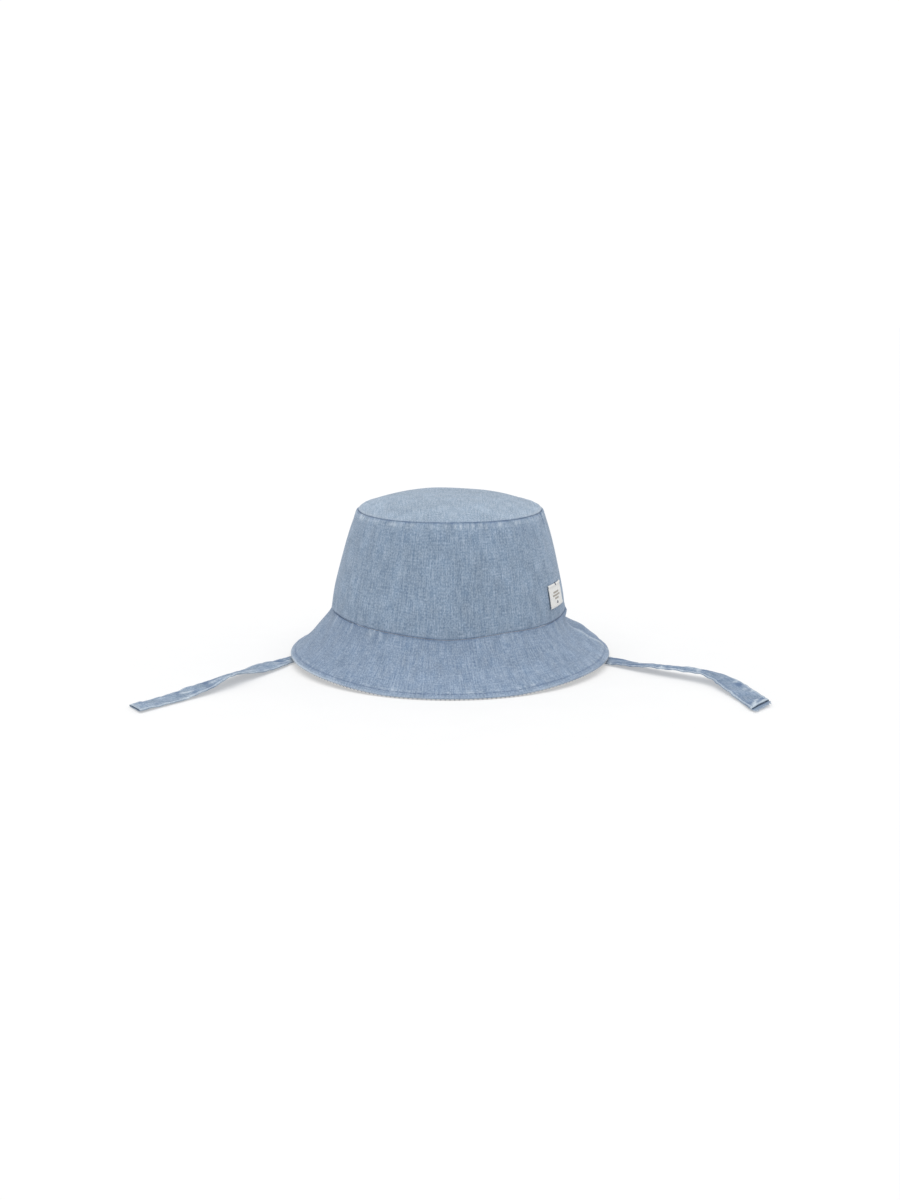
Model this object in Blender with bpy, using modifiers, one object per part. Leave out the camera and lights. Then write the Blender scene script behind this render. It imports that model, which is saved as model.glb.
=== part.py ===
"""Bucket hat for a small child: oval domed tip, tapering crown, flared brim, lining and two cloth ties.

Metres, +Z up. The hat stands on its brim's edge at Z = 0 and its front faces -Y. The origin is the centre
of the outline it stands on. Angles run round the hat from the front, and are positive towards +X.
Each cloth piece is an open panel on one layer of the hat, thickened inwards.
"""
import math

import bmesh
import bpy
from mathutils import Vector

# Ovals that the panels are cut to: half widths along X and Y.
TIP_SEAM = (0.0558, 0.0636)
BASE_SEAM = (0.0707, 0.0791)
BRIM_EDGE = (0.0980, 0.1090)

# Heights of the three ovals, and how each wanders on the standing hat.
TIP_SEAM_Z = 0.0922
TIP_RISE = 0.0094
TIP_ROUNDNESS = 3.1
TIP_LEAN = 0.0007
TIP_FRONT_LIFT = 0.0007
BASE_SEAM_Z = 0.0301
BASE_SEAM_DIP = 0.0013
BASE_SEAM_LEAN = -0.0010
BASE_SEAM_SHIFT = -0.0010
BASE_SEAM_WANDER = 0.0011
BRIM_EDGE_Z = 0.0012
BRIM_SIDE_LIFT = 0.0036
BRIM_CORNER_LIFT = 0.0009
FLAT_HALF_ANGLE = math.radians(22.5)
CROWN_BULGE = 0.0020
BRIM_HOLLOW = 0.0020

# Cloth layers, counted inwards from the outer face.
OUTER_CLOTH = 0.0005
LINING_CLOTH = 0.0004
INTERLINING_CLOTH = 0.0004
GAP = 0.0003
CROWN_LINING_DEPTH = 0.0015
INTERLINING_DEPTH = OUTER_CLOTH + GAP
BRIM_UNDER_DEPTH = INTERLINING_DEPTH + INTERLINING_CLOTH + GAP

# How finely the panels are cut: columns all the way round, and rows across each panel.
COLUMNS_ROUND = 48
CROWN_ROWS = 4
BRIM_ROWS = 4
TIP_ROWS = 4
SEAM_MITRE = 0.5
SEAM_HALF_GAP = 0.00016

# Threads
THREAD_RADIUS = 0.0002
SEAM_THREAD_DEPTH = 0.0010
TOPSTITCH_INSET = 0.003
RING_POINTS = 64

# Woven label on the crown's +X side.
LABEL_ANGLE = math.radians(66.5)
LABEL_WIDTH = 0.020
LABEL_HEIGHT = 0.0142
LABEL_MIDDLE = 0.235
LABEL_CLOTH = 0.0004
LABEL_DEPTH = -(GAP + LABEL_CLOTH)
LABEL_STITCH_LENGTH = 0.0016
LABEL_LOWER_STITCH_RISE = 0.04

# Ties: folded cloth strips that lie out on the table from under the brim.
TIE_WIDTH = 0.015
TIE_THICKNESS = 0.0012
TIE_ROW_LENGTH = 0.006
TACK_RADIUS = 0.0005
TACK_LENGTH = 0.013
TIE_END_GAP = 0.0009
TACK_RIGHT = (0.0668, 0.0, 0.0288)
TACK_LEFT = (-0.0688, 0.0, 0.0308)
# Each row: X, Y, Z of the tie's middle line and its twist in degrees.
TIE_RIGHT_ROUTE = (
    (0.0716, -0.0003, 0.0190, 0),
    (0.0755, -0.0010, 0.0098, 0),
    (0.0815, -0.0040, 0.0038, 0),
    (0.0895, -0.0100, 0.0015, 0),
    (0.0985, -0.0190, 0.0012, 0),
    (0.1100, -0.0310, 0.0024, 4),
    (0.1240, -0.0440, 0.0042, 6),
    (0.1382, -0.0550, 0.0052, 6),
    (0.1488, -0.0638, 0.0052, 6),
    (0.1564, -0.0735, 0.0041, 4),
    (0.1610, -0.0880, 0.0026, 0),
    (0.1655, -0.1055, 0.0018, -3),
    (0.1690, -0.1235, 0.0018, -5),
)
TIE_LEFT_ROUTE = (
    (-0.0738, -0.0002, 0.0200, 0),
    (-0.0775, -0.0008, 0.0100, 0),
    (-0.0830, -0.0030, 0.0040, 0),
    (-0.0905, -0.0080, 0.0016, 0),
    (-0.0985, -0.0155, 0.0013, 0),
    (-0.1075, -0.0315, 0.0016, 2),
    (-0.1165, -0.0485, 0.0022, -1),
    (-0.1242, -0.0620, 0.0041, -12),
    (-0.1305, -0.0750, 0.0048, -18),
    (-0.1385, -0.0870, 0.0034, -3),
    (-0.1500, -0.1025, 0.0014, 0),
    (-0.1610, -0.1160, 0.0012, 0),
    (-0.1708, -0.1285, 0.0012, 0),
)


def clear_scene():
    for item in list(bpy.data.objects):
        bpy.data.objects.remove(item, do_unlink=True)


def new_collection(name):
    collection = bpy.data.collections.new(name)
    bpy.context.scene.collection.children.link(collection)
    return collection


def cloth(name, colour, roughness=0.9):
    material = bpy.data.materials.new(name)
    material.use_nodes = True
    shader = material.node_tree.nodes["Principled BSDF"]
    shader.inputs["Base Color"].default_value = (*colour, 1.0)
    shader.inputs["Roughness"].default_value = roughness
    shader.inputs["Metallic"].default_value = 0.0
    return material


def swell(angle, middle, half_width):
    """1 at the middle angle, falling off smoothly on both sides of it."""
    away = (angle - middle + math.pi) % math.tau - math.pi
    return math.exp(-(away / half_width) ** 2)


def base_seam_z(angle):
    dip = BASE_SEAM_DIP * math.cos(2 * angle)
    wander = BASE_SEAM_WANDER * (swell(angle, 0.50, 0.26) - swell(angle, -0.04, 0.28))
    return BASE_SEAM_Z - dip + BASE_SEAM_LEAN * math.sin(angle) + wander


def brim_edge_z(angle):
    """Flat on the table at the front and back, lifted where the ties pass under the sides."""
    flat = math.sin(FLAT_HALF_ANGLE) ** 2
    side = max(0.0, (math.sin(angle) ** 2 - flat) / (1 - flat))
    return BRIM_EDGE_Z + BRIM_SIDE_LIFT * side + BRIM_CORNER_LIFT * 4 * side * (1 - side)


def on_oval(half_widths, angle, height):
    return Vector((half_widths[0] * math.sin(angle), -half_widths[1] * math.cos(angle), height))


def base_seam(angle):
    return on_oval(BASE_SEAM, angle, base_seam_z(angle)) + Vector((BASE_SEAM_SHIFT, 0, 0))


def tip_seam(angle, share=1.0):
    """The tip's oval, which rides a little higher at the front. The share shrinks it towards its middle."""
    height = TIP_SEAM_Z + TIP_FRONT_LIFT * swell(angle, 0.08, 0.55) * share
    return on_oval((TIP_SEAM[0] * share, TIP_SEAM[1] * share), angle, height)


def crown_side_face(angle, across):
    """Outer face of the crown's wall: across runs from the base seam at 0 to the tip seam at 1."""
    straight = base_seam(angle).lerp(tip_seam(angle), across)
    bulge = CROWN_BULGE * (1 - abs(2 * across - 1) ** 4)
    return straight + bulge * Vector((math.sin(angle), -math.cos(angle), 0))


def brim_face(angle, across):
    """Upper face of the brim: across runs from the base seam at 0 to the edge at 1."""
    straight = base_seam(angle).lerp(on_oval(BRIM_EDGE, angle, brim_edge_z(angle)), across)
    hollow = BRIM_HOLLOW * 4 * across * (1 - across)
    return straight - hollow * Vector((math.sin(angle), -math.cos(angle), 1))


def tip_face(angle, across):
    """Upper face of the domed tip: across runs from its middle at 0 to the tip seam at 1."""
    dome = 1 - across ** TIP_ROUNDNESS
    lean = TIP_LEAN * dome * across * math.sin(angle)
    return tip_seam(angle, across) + Vector((0, 0, TIP_RISE * dome - lean))


def outward(face, angle, across):
    """Unit normal of a face, pointing out of the hat."""
    step = 1e-3
    inside = min(max(across, 2 * step), 1 - step)
    round_hat = face(angle + step, inside) - face(angle - step, inside)
    over_panel = face(angle, inside + step) - face(angle, inside - step)
    normal = round_hat.cross(over_panel).normalized()
    away = face(angle, inside) - Vector((0, 0, 0.02))
    return normal if normal.dot(away) > 0 else -normal


def on_layer(face, depth, angle, across):
    return face(angle, across) - depth * outward(face, angle, across)


def thicken(item, thickness):
    """The panel's thickness goes inwards, away from its face."""
    solidify = item.modifiers.new("Cloth thickness", "SOLIDIFY")
    solidify.thickness = thickness
    solidify.offset = -1
    solidify.use_even_offset = True


def panel_object(name, mesh_builder, thickness, material, collection):
    mesh = bpy.data.meshes.new(name)
    bmesh.ops.recalc_face_normals(mesh_builder, faces=mesh_builder.faces)
    mesh_builder.normal_update()
    if mean_facing(mesh_builder) < 0:
        bmesh.ops.reverse_faces(mesh_builder, faces=mesh_builder.faces)
    mesh_builder.to_mesh(mesh)
    mesh_builder.free()
    mesh.shade_smooth()
    mesh.materials.append(material)
    item = bpy.data.objects.new(name, mesh)
    collection.objects.link(item)
    thicken(item, thickness)
    return item


def mean_facing(mesh_builder):
    """Above zero when the faces look away from a point low inside the crown."""
    inside = Vector((0, 0, 0.02))
    return sum(f.normal.dot(f.calc_center_median() - inside) for f in mesh_builder.faces)


def grid_panel(name, face, depth, angles, span, rows, thickness, material, collection):
    """A panel between two angles and across a span of a face, on the layer at a depth."""
    columns = max(2, round(COLUMNS_ROUND * (angles[1] - angles[0]) / math.tau))
    builder = bmesh.new()
    bmesh.ops.create_grid(builder, x_segments=columns, y_segments=rows, size=0.5)
    for vertex in builder.verts:
        angle = angles[0] + (angles[1] - angles[0]) * (vertex.co.x + 0.5)
        across = span[0] + (span[1] - span[0]) * (vertex.co.y + 0.5)
        vertex.co = on_layer(face, depth, angle, across)
    return panel_object(name, builder, thickness, material, collection)


def tip_panel(name, depth, span_end, thickness, material, collection):
    """The tip is the upper half of a sphere's grid, drawn out over the dome."""
    builder = bmesh.new()
    bmesh.ops.create_uvsphere(builder, u_segments=COLUMNS_ROUND, v_segments=2 * TIP_ROWS, radius=1)
    lower = [v for v in builder.verts if v.co.z < -0.01]
    bmesh.ops.delete(builder, geom=lower, context="VERTS")
    for vertex in builder.verts:
        angle = math.atan2(vertex.co.x, -vertex.co.y)
        across = span_end * math.acos(min(1.0, vertex.co.z)) / (math.pi / 2)
        vertex.co = on_layer(tip_face, depth, angle, across)
    return panel_object(name, builder, thickness, material, collection)


def half_angles(back):
    """The front or the back half of the hat, stopping short of the side seams."""
    short = SEAM_HALF_GAP / BASE_SEAM[0]
    middle = math.pi if back else 0.0
    return (middle - math.pi / 2 + short, middle + math.pi / 2 - short)


def crown_side(name, back, depth, thickness, material, collection):
    """The wall stops short of the base seam, and further short of the tip seam where the layers mitre."""
    wall = TIP_SEAM_Z - BASE_SEAM_Z
    mitre = SEAM_HALF_GAP + SEAM_MITRE * (depth + thickness)
    span = (SEAM_HALF_GAP / wall, 1 - mitre / wall)
    return grid_panel(name, crown_side_face, depth, half_angles(back), span, CROWN_ROWS,
                      thickness, material, collection)


def brim_layer(name, back, depth, thickness, material, collection):
    span = (SEAM_HALF_GAP / (BRIM_EDGE[0] - BASE_SEAM[0]), 1.0)
    return grid_panel(name, brim_face, depth, half_angles(back), span, BRIM_ROWS,
                      thickness, material, collection)


def tip(name, depth, thickness, material, collection):
    mitre = SEAM_HALF_GAP + SEAM_MITRE * (depth + thickness)
    return tip_panel(name, depth, 1 - mitre / TIP_SEAM[0], thickness, material, collection)


def table_cutter(collection):
    """A slab below Z = 0: what it cuts becomes the flat strips that the brim stands on."""
    builder = bmesh.new()
    bmesh.ops.create_cube(builder, size=1)
    mesh = bpy.data.meshes.new("table_cutter")
    builder.to_mesh(mesh)
    builder.free()
    cutter = bpy.data.objects.new("table_cutter", mesh)
    cutter.scale = (0.3, 0.3, 0.02)
    cutter.location = (0, 0, -0.01)
    cutter.hide_render = True
    cutter.display_type = "WIRE"
    collection.objects.link(cutter)
    return cutter


def cut_flat(item, cutter):
    cut = item.modifiers.new("Stands flat", "BOOLEAN")
    cut.operation = "DIFFERENCE"
    cut.solver = "EXACT"
    cut.object = cutter


def thread(name, points, radius, closed, material, collection):
    curve = bpy.data.curves.new(name, "CURVE")
    curve.dimensions = "3D"
    curve.bevel_depth = radius
    curve.bevel_resolution = 0
    curve.use_fill_caps = not closed
    spline = curve.splines.new("POLY")
    spline.points.add(len(points) - 1)
    for spline_point, place in zip(spline.points, points):
        spline_point.co = (*place, 1.0)
    spline.use_cyclic_u = closed
    curve.materials.append(material)
    item = bpy.data.objects.new(name, curve)
    collection.objects.link(item)
    return item


def thread_ring(name, face, depth, across, material, collection):
    angles = [math.tau * n / RING_POINTS for n in range(RING_POINTS)]
    points = [on_layer(face, depth, angle, across) for angle in angles]
    return thread(name, points, THREAD_RADIUS, True, material, collection)


def side_seam_thread(name, angle, material, collection):
    """The thread of a side seam, in the space between the crown's wall and its lining."""
    rows = 8
    points = [on_layer(crown_side_face, SEAM_THREAD_DEPTH, angle, 0.04 + 0.91 * n / rows)
              for n in range(rows + 1)]
    return thread(name, points, THREAD_RADIUS, False, material, collection)


def label_patch(material, collection):
    girth = crown_side_face(LABEL_ANGLE, LABEL_MIDDLE).xy.length
    wall = (crown_side_face(LABEL_ANGLE, 1) - crown_side_face(LABEL_ANGLE, 0)).length
    half_turn = LABEL_WIDTH / 2 / girth
    half_rise = LABEL_HEIGHT / 2 / wall
    angles = (LABEL_ANGLE - half_turn, LABEL_ANGLE + half_turn)
    span = (LABEL_MIDDLE - half_rise, LABEL_MIDDLE + half_rise)
    grid_panel("label", crown_side_face, LABEL_DEPTH, angles, span, 2, LABEL_CLOTH, material, collection)
    return span


def label_stitch(name, across, material, collection):
    """A short thread laid over the label's edge."""
    depth = LABEL_DEPTH - GAP - THREAD_RADIUS
    wall = TIP_SEAM_Z - BASE_SEAM_Z
    half = LABEL_STITCH_LENGTH / 2 / wall
    points = [on_layer(crown_side_face, depth, LABEL_ANGLE, across + side * half) for side in (-1, 0, 1)]
    return thread(name, points, THREAD_RADIUS, False, material, collection)


def smooth_route(route):
    """Points and twists along a smooth line through the route's own, about one tie row apart."""
    ends = [[2 * a - b for a, b in zip(route[0], route[1])],
            [2 * a - b for a, b in zip(route[-1], route[-2])]]
    held = [ends[0], *route, ends[1]]
    line = []
    for before, start, end, after in zip(held, held[1:], held[2:], held[3:]):
        steps = max(1, round((Vector(end[:3]) - Vector(start[:3])).length / TIE_ROW_LENGTH))
        for n in range(steps):
            line.append(between(before, start, end, after, n / steps))
    line.append(list(route[-1]))
    return line


def between(before, start, end, after, t):
    """Catmull-Rom: passes through start at 0 and end at 1."""
    return [0.5 * (2 * b + (c - a) * t + (2 * a - 5 * b + 4 * c - d) * t ** 2
                   + (3 * b - a - 3 * c + d) * t ** 3)
            for a, b, c, d in zip(before, start, end, after)]


def tie_start(tack, route):
    """The tie begins just clear of the thread that it turns about."""
    hold = Vector(tack)
    towards = (Vector(route[0][:3]) - hold).normalized()
    return (*(hold + TIE_END_GAP * towards), route[0][3])


def tie_strip(name, tack, route, pivot, material, collection):
    """A flat strip along the route, level across except for its twist, whose origin is its seam."""
    line = smooth_route((tie_start(tack, route), *route))
    places = [Vector(row[:3]) for row in line]
    builder = bmesh.new()
    bmesh.ops.create_grid(builder, x_segments=len(line) - 1, y_segments=2, size=0.5)
    for vertex in builder.verts:
        row = round((vertex.co.x + 0.5) * (len(line) - 1))
        ahead = places[min(row + 1, len(line) - 1)] - places[max(row - 1, 0)]
        level = ahead.cross(Vector((0, 0, 1))).normalized()
        upright = level.cross(ahead.normalized())
        twist = math.radians(line[row][3])
        sideways = math.cos(twist) * level + math.sin(twist) * upright
        vertex.co = places[row] + sideways * TIE_WIDTH * vertex.co.y - pivot.location
    mesh = bpy.data.meshes.new(name)
    builder.to_mesh(mesh)
    builder.free()
    mesh.shade_smooth()
    mesh.materials.append(material)
    strip = bpy.data.objects.new(name, mesh)
    collection.objects.link(strip)
    solidify = strip.modifiers.new("Folded cloth", "SOLIDIFY")
    solidify.thickness = TIE_THICKNESS
    solidify.offset = 0
    strip.parent = pivot
    return strip


def tie_pivot(name, tack, collection):
    pivot = bpy.data.objects.new(name, None)
    pivot.location = tack
    pivot.empty_display_size = 0.01
    collection.objects.link(pivot)
    return pivot


def tack_thread(name, tack, material, collection):
    """The row of thread that holds a tie: straight along Y, on the line that the tie turns about."""
    ends = [Vector(tack) + Vector((0, side * TACK_LENGTH / 2, 0)) for side in (-1, 1)]
    return thread(name, ends, TACK_RADIUS, False, material, collection)


def build_crown(collection):
    chambray = cloth("crown_chambray", (0.42, 0.52, 0.65))
    tip_chambray = cloth("tip_chambray", (0.48, 0.58, 0.70))
    tip("crown_tip", 0.0, OUTER_CLOTH, tip_chambray, collection)
    crown_side("crown_side_front", False, 0.0, OUTER_CLOTH, chambray, collection)
    crown_side("crown_side_back", True, 0.0, OUTER_CLOTH, chambray, collection)


def build_lining(collection):
    dotted_cotton = cloth("lining_cotton", (0.72, 0.74, 0.76))
    tip("lining_tip", CROWN_LINING_DEPTH, LINING_CLOTH, dotted_cotton, collection)
    for name, back in (("lining_side_front", False), ("lining_side_back", True)):
        crown_side(name, back, CROWN_LINING_DEPTH, LINING_CLOTH, dotted_cotton, collection)


def build_brim(collection, cutter):
    chambray = cloth("brim_chambray", (0.44, 0.54, 0.66))
    stiffener = cloth("brim_interlining", (0.82, 0.82, 0.80))
    dotted_cotton = cloth("brim_under_cotton", (0.72, 0.74, 0.76))
    for end, back in (("front", False), ("back", True)):
        brim_layer("brim_upper_" + end, back, 0.0, OUTER_CLOTH, chambray, collection)
        brim_layer("brim_interlining_" + end, back, INTERLINING_DEPTH, INTERLINING_CLOTH,
                   stiffener, collection)
        under = brim_layer("brim_under_" + end, back, BRIM_UNDER_DEPTH, OUTER_CLOTH,
                           dotted_cotton, collection)
        cut_flat(under, cutter)


def build_threads(collection):
    blue_thread = cloth("blue_thread", (0.16, 0.24, 0.38), 0.7)
    seam_thread = cloth("seam_thread", (0.30, 0.38, 0.50), 0.7)
    slant = (brim_face(0, 1) - brim_face(0, 0)).length
    topstitch_depth = -(GAP + THREAD_RADIUS)
    thread_ring("brim_edge_topstitch", brim_face, topstitch_depth, 1 - TOPSTITCH_INSET / slant,
                blue_thread, collection)
    thread_ring("tip_seam_thread", crown_side_face, SEAM_THREAD_DEPTH, 0.975, seam_thread, collection)
    thread_ring("base_seam_thread", crown_side_face, SEAM_THREAD_DEPTH, 0.015, seam_thread, collection)
    side_seam_thread("side_seam_thread_right", math.pi / 2, seam_thread, collection)
    side_seam_thread("side_seam_thread_left", -math.pi / 2, seam_thread, collection)


def build_label(collection):
    white_weave = cloth("label_weave", (0.88, 0.88, 0.88), 0.8)
    dark_thread = cloth("label_thread", (0.05, 0.06, 0.09), 0.7)
    lower, upper = label_patch(white_weave, collection)
    label_stitch("label_stitch_top", upper, dark_thread, collection)
    label_stitch("label_stitch_bottom", lower + LABEL_LOWER_STITCH_RISE, dark_thread, collection)


def build_ties(collection):
    chambray = cloth("tie_chambray", (0.44, 0.54, 0.67))
    seam_thread = cloth("tack_thread", (0.30, 0.38, 0.50), 0.7)
    for side, tack, route in (("left", TACK_LEFT, TIE_LEFT_ROUTE), ("right", TACK_RIGHT, TIE_RIGHT_ROUTE)):
        pivot = tie_pivot("tie_pivot_" + side, tack, collection)
        tie_strip("tie_" + side, tack, route, pivot, chambray, collection)
        tack_thread("tie_tack_" + side, tack, seam_thread, collection)


def main():
    clear_scene()
    hat = new_collection("bucket_hat")
    cutters = new_collection("cutters")
    build_crown(hat)
    build_lining(hat)
    build_brim(hat, table_cutter(cutters))
    build_threads(hat)
    build_label(hat)
    build_ties(hat)


main()
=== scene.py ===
import functools
import math

import bmesh
import bpy
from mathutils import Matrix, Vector, noise


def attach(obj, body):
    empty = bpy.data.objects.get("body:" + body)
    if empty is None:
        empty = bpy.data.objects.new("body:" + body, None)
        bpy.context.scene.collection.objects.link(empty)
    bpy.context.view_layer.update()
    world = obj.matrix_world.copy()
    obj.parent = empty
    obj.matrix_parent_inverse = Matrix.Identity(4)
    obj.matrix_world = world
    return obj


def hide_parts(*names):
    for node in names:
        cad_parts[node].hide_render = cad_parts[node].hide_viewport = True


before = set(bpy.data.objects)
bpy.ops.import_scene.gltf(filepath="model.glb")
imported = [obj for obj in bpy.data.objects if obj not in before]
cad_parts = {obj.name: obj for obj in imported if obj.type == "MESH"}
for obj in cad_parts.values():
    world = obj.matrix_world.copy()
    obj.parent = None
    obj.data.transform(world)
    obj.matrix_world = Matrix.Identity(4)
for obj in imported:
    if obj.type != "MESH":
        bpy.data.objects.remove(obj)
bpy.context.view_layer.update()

# Looks of the bucket hat, in metres, +Z up, front towards -Y. Angles run round the hat from the front
# and are positive towards +X. Each cloth piece is a fine sheet of its own, thickened inwards, and carries
# two values at each point: its place on the flat cloth, and its wear and painted shade as (worn, seam
# darkening with painted shade, ridge shading), where ridge shading paints highlight on raised cloth and
# shade in its hollows.

# Ovals that the panels are cut to, and how they wander on the standing hat
TIP_SEAM = (0.0558, 0.0636)
BASE_SEAM = (0.0707, 0.0791)
BRIM_EDGE = (0.0980, 0.1090)
TIP_SEAM_Z = 0.0922
TIP_RISE = 0.0094
TIP_ROUNDNESS = 3.1
TIP_LEAN = 0.0007
TIP_FRONT_LIFT = 0.0007
BASE_SEAM_Z = 0.0301
BASE_SEAM_DIP = 0.0013
BASE_SEAM_LEAN = -0.0010
BASE_SEAM_SHIFT = -0.0010
BASE_SEAM_WANDER = 0.0011
BRIM_EDGE_Z = 0.0012
BRIM_SIDE_LIFT = 0.0036
BRIM_CORNER_LIFT = 0.0009
FLAT_HALF_ANGLE = math.radians(22.5)
CROWN_BULGE = 0.0020
BRIM_HOLLOW = 0.0020

# Cloth layers and sizes on the flat
OUTER_CLOTH = 0.0005
LINING_CLOTH = 0.0004
CROWN_LINING_DEPTH = 0.0015
INTERLINING_DEPTH = 0.00068
INTERLINING_CLOTH = 0.00035
EDGE_ROLL_RADIUS = 0.00080
# Where the brim's two cloths meet on the edge's roll: 1 is on top and 3 is underneath.
EDGE_SEAM = 1.68
# How far round the roll each cloth goes before it dives into that seam, and how fast it dives.
UPPER_TURN_IN = 0.06
UNDER_TURN_IN = 0.04
EDGE_DIVE = 0.0025
EDGE_ROLL_LENGTH = 0.0013
CROWN_WALL = 0.0640
BRIM_SLANT = 0.0400
CROWN_RADIUS = 0.0690
BRIM_RADIUS = 0.0900
TIP_RADIUS = 0.060
HALF_CROWN_GIRTH = 0.236
HALF_BRIM_GIRTH = 0.300
SEAM_GAP = 0.00006
SEAM_TUCK = 0.00028
SEAM_REACH = 0.00035
PLEAT_GIRTH = 0.0879
STITCH_INSET = 0.0030
EDGE_STITCHES = 226
EDGE_STITCH_SHARE = 0.80
THREAD_RADIUS = 0.00014
HEAVY_THREAD_RADIUS = 0.00022
# How far cloth rises on a fold that gets the full painted highlight; a hollow as deep gets the full painted
# shade.
FULL_RIDGE = 0.00035

# Distances between the rows of points of the sheets
CROWN_STEP = 0.0014
BRIM_STEP = 0.0015
FINE_STEP = 0.0013
LINING_STEP = 0.0026

# Label on the crown's +X side
LABEL_ANGLE = math.radians(66.5)
LABEL_WIDTH = 0.020
LABEL_HEIGHT = 0.0142
LABEL_MIDDLE = 0.235
LABEL_STANDOFF = 0.0007
LABEL_CLOTH = 0.0004

# Ties
TIE_WIDTH = 0.015
TIE_THICKNESS = 0.0012
TIE_END_GAP = 0.0009
TACK_LENGTH = 0.013
TACK_RIGHT = (0.0668, 0.0, 0.0288)
TACK_LEFT = (-0.0688, 0.0, 0.0308)
TIE_LEFT_LENGTH = 0.1865
TIE_RIGHT_LENGTH = 0.1850
# Each row: X, Y, Z of the middle line, twist in degrees, width as a share of the full one, and how far
# the edges curl up, or down below zero, in millimetres.
TIE_RIGHT_ROUTE = (
    (0.0716, -0.0003, 0.0190, 0, 1.0, 0.0),
    (0.0755, -0.0010, 0.0098, 0, 1.0, 0.0),
    (0.0815, -0.0040, 0.0038, 0, 1.0, 0.0),
    (0.0895, -0.0100, 0.0015, 0, 1.0, 0.0),
    (0.0985, -0.0190, 0.0012, 0, 1.0, 0.0),
    (0.1100, -0.0310, 0.0024, 4, 0.88, -0.5),
    (0.1240, -0.0440, 0.0042, 6, 0.86, -0.9),
    (0.1382, -0.0550, 0.0052, 6, 0.86, -1.0),
    (0.1488, -0.0638, 0.0052, 6, 0.92, -0.6),
    (0.1564, -0.0735, 0.0041, 4, 1.0, -0.2),
    (0.1610, -0.0880, 0.0026, 0, 1.0, 0.2),
    (0.1655, -0.1055, 0.0018, -3, 1.0, 0.2),
    (0.1690, -0.1235, 0.0018, -5, 1.0, 0.1),
)
TIE_LEFT_ROUTE = (
    (-0.0738, -0.0002, 0.0200, 0, 1.0, 0.0),
    (-0.0775, -0.0008, 0.0100, 0, 1.0, 0.0),
    (-0.0830, -0.0030, 0.0040, 0, 1.0, 0.0),
    (-0.0905, -0.0080, 0.0016, 0, 0.90, 0.0),
    (-0.0985, -0.0155, 0.0013, 0, 0.80, -0.6),
    (-0.1075, -0.0315, 0.0016, 2, 1.0, 0.4),
    (-0.1165, -0.0485, 0.0022, -1, 1.0, 0.3),
    (-0.1242, -0.0620, 0.0041, -12, 1.0, -0.6),
    (-0.1305, -0.0750, 0.0048, -18, 0.95, -0.8),
    (-0.1385, -0.0870, 0.0034, -3, 1.0, 0.0),
    (-0.1500, -0.1025, 0.0014, 0, 1.0, 0.1),
    (-0.1610, -0.1160, 0.0012, 0, 1.0, 0.1),
    (-0.1708, -0.1285, 0.0012, 0, 1.0, 0.0),
)
TIE_ROW_LENGTH = 0.0015
# Where the row of stitches runs along a tie: 1 is its edge.
TIE_SEWN_EDGE = 0.72
TIE_YARNS = 26
TIE_LEFT_SEED = 21
TIE_RIGHT_SEED = 31
# How much longer one edge of each tie's end is than its middle.
TIE_END_SKEW = {TIE_LEFT_SEED: -0.0028, TIE_RIGHT_SEED: 0.0062}
# How far the lower layer of the right tie's cut end reaches past the upper one.
TIE_END_STEP = {TIE_LEFT_SEED: 0.0, TIE_RIGHT_SEED: 0.0032}
# How deep the colour of each tie is: the right one has faded less.
TIE_DEPTH = {TIE_LEFT_SEED: 0.12, TIE_RIGHT_SEED: 0.32}
# How far along the left tie it is nipped in beside the brim.
TIE_NIP = 0.0580

CAMERA_PLACE = (0.0, -1.0024, 0.2355)
CAMERA_AIM = (0.0, 0.0, 0.0353)
STUDIO_FILL = 0.85
BACKDROP_STRENGTH = 1.05
OVERHEAD_STRENGTH = 1.45
OVERHEAD_PLACE = (0.0, -0.30, 1.5)
OVERHEAD_SPREAD = math.radians(75)
FLOOR_SIZE = 6
FLOOR_GLOW = 0.37

# Colours of each chambray: its warp, its weft and where it is worn
CROWN_COLOURS = ((0.132, 0.202, 0.300), (0.325, 0.398, 0.495), (0.50, 0.57, 0.64))
TIP_COLOURS = ((0.165, 0.235, 0.325), (0.355, 0.422, 0.500), (0.55, 0.61, 0.66))
BRIM_COLOURS = ((0.122, 0.188, 0.290), (0.305, 0.370, 0.465), (0.50, 0.57, 0.64))
TIE_COLOURS = ((0.140, 0.210, 0.300), (0.330, 0.395, 0.480), (0.54, 0.61, 0.67))
# Deep blue that dye leaves in seams and pressed marks, also used as painted shade in seam grooves, folds,
# creases and hollows
DEEP_BLUE_DYE_AND_SHADE = (0.070, 0.125, 0.235, 1)

# Dark and light colours of each thread
BLUE_THREAD = ((0.07, 0.12, 0.22), (0.16, 0.23, 0.36))
SEAM_THREAD = ((0.11, 0.18, 0.31), (0.25, 0.34, 0.49))
DARK_THREAD = ((0.02, 0.03, 0.06), (0.08, 0.10, 0.16))
PALE_YARN = ((0.16, 0.24, 0.36), (0.52, 0.59, 0.67))


def add_object(name, data):
    made = bpy.data.objects.new(name, data)
    bpy.context.scene.collection.objects.link(made)
    return made


# Camera

def set_camera():
    lens = bpy.data.cameras.new("hat_camera")
    lens.lens = 50
    lens.sensor_width = 36
    camera = add_object("hat_camera", lens)
    camera.location = CAMERA_PLACE
    towards = Vector(CAMERA_AIM) - Vector(CAMERA_PLACE)
    camera.rotation_euler = towards.to_track_quat("-Z", "Y").to_euler()
    bpy.context.scene.camera = camera


# Shape of the hat

def on_oval(half_widths, angle, height):
    return Vector((half_widths[0] * math.sin(angle), -half_widths[1] * math.cos(angle), height))


def swell(angle, middle, half_width):
    """1 at the middle angle, falling off smoothly on both sides of it."""
    away = (angle - middle + math.pi) % math.tau - math.pi
    return math.exp(-(away / half_width) ** 2)


def swell_at(angle, degrees, half_width):
    return swell(angle, math.radians(degrees), half_width)


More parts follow.
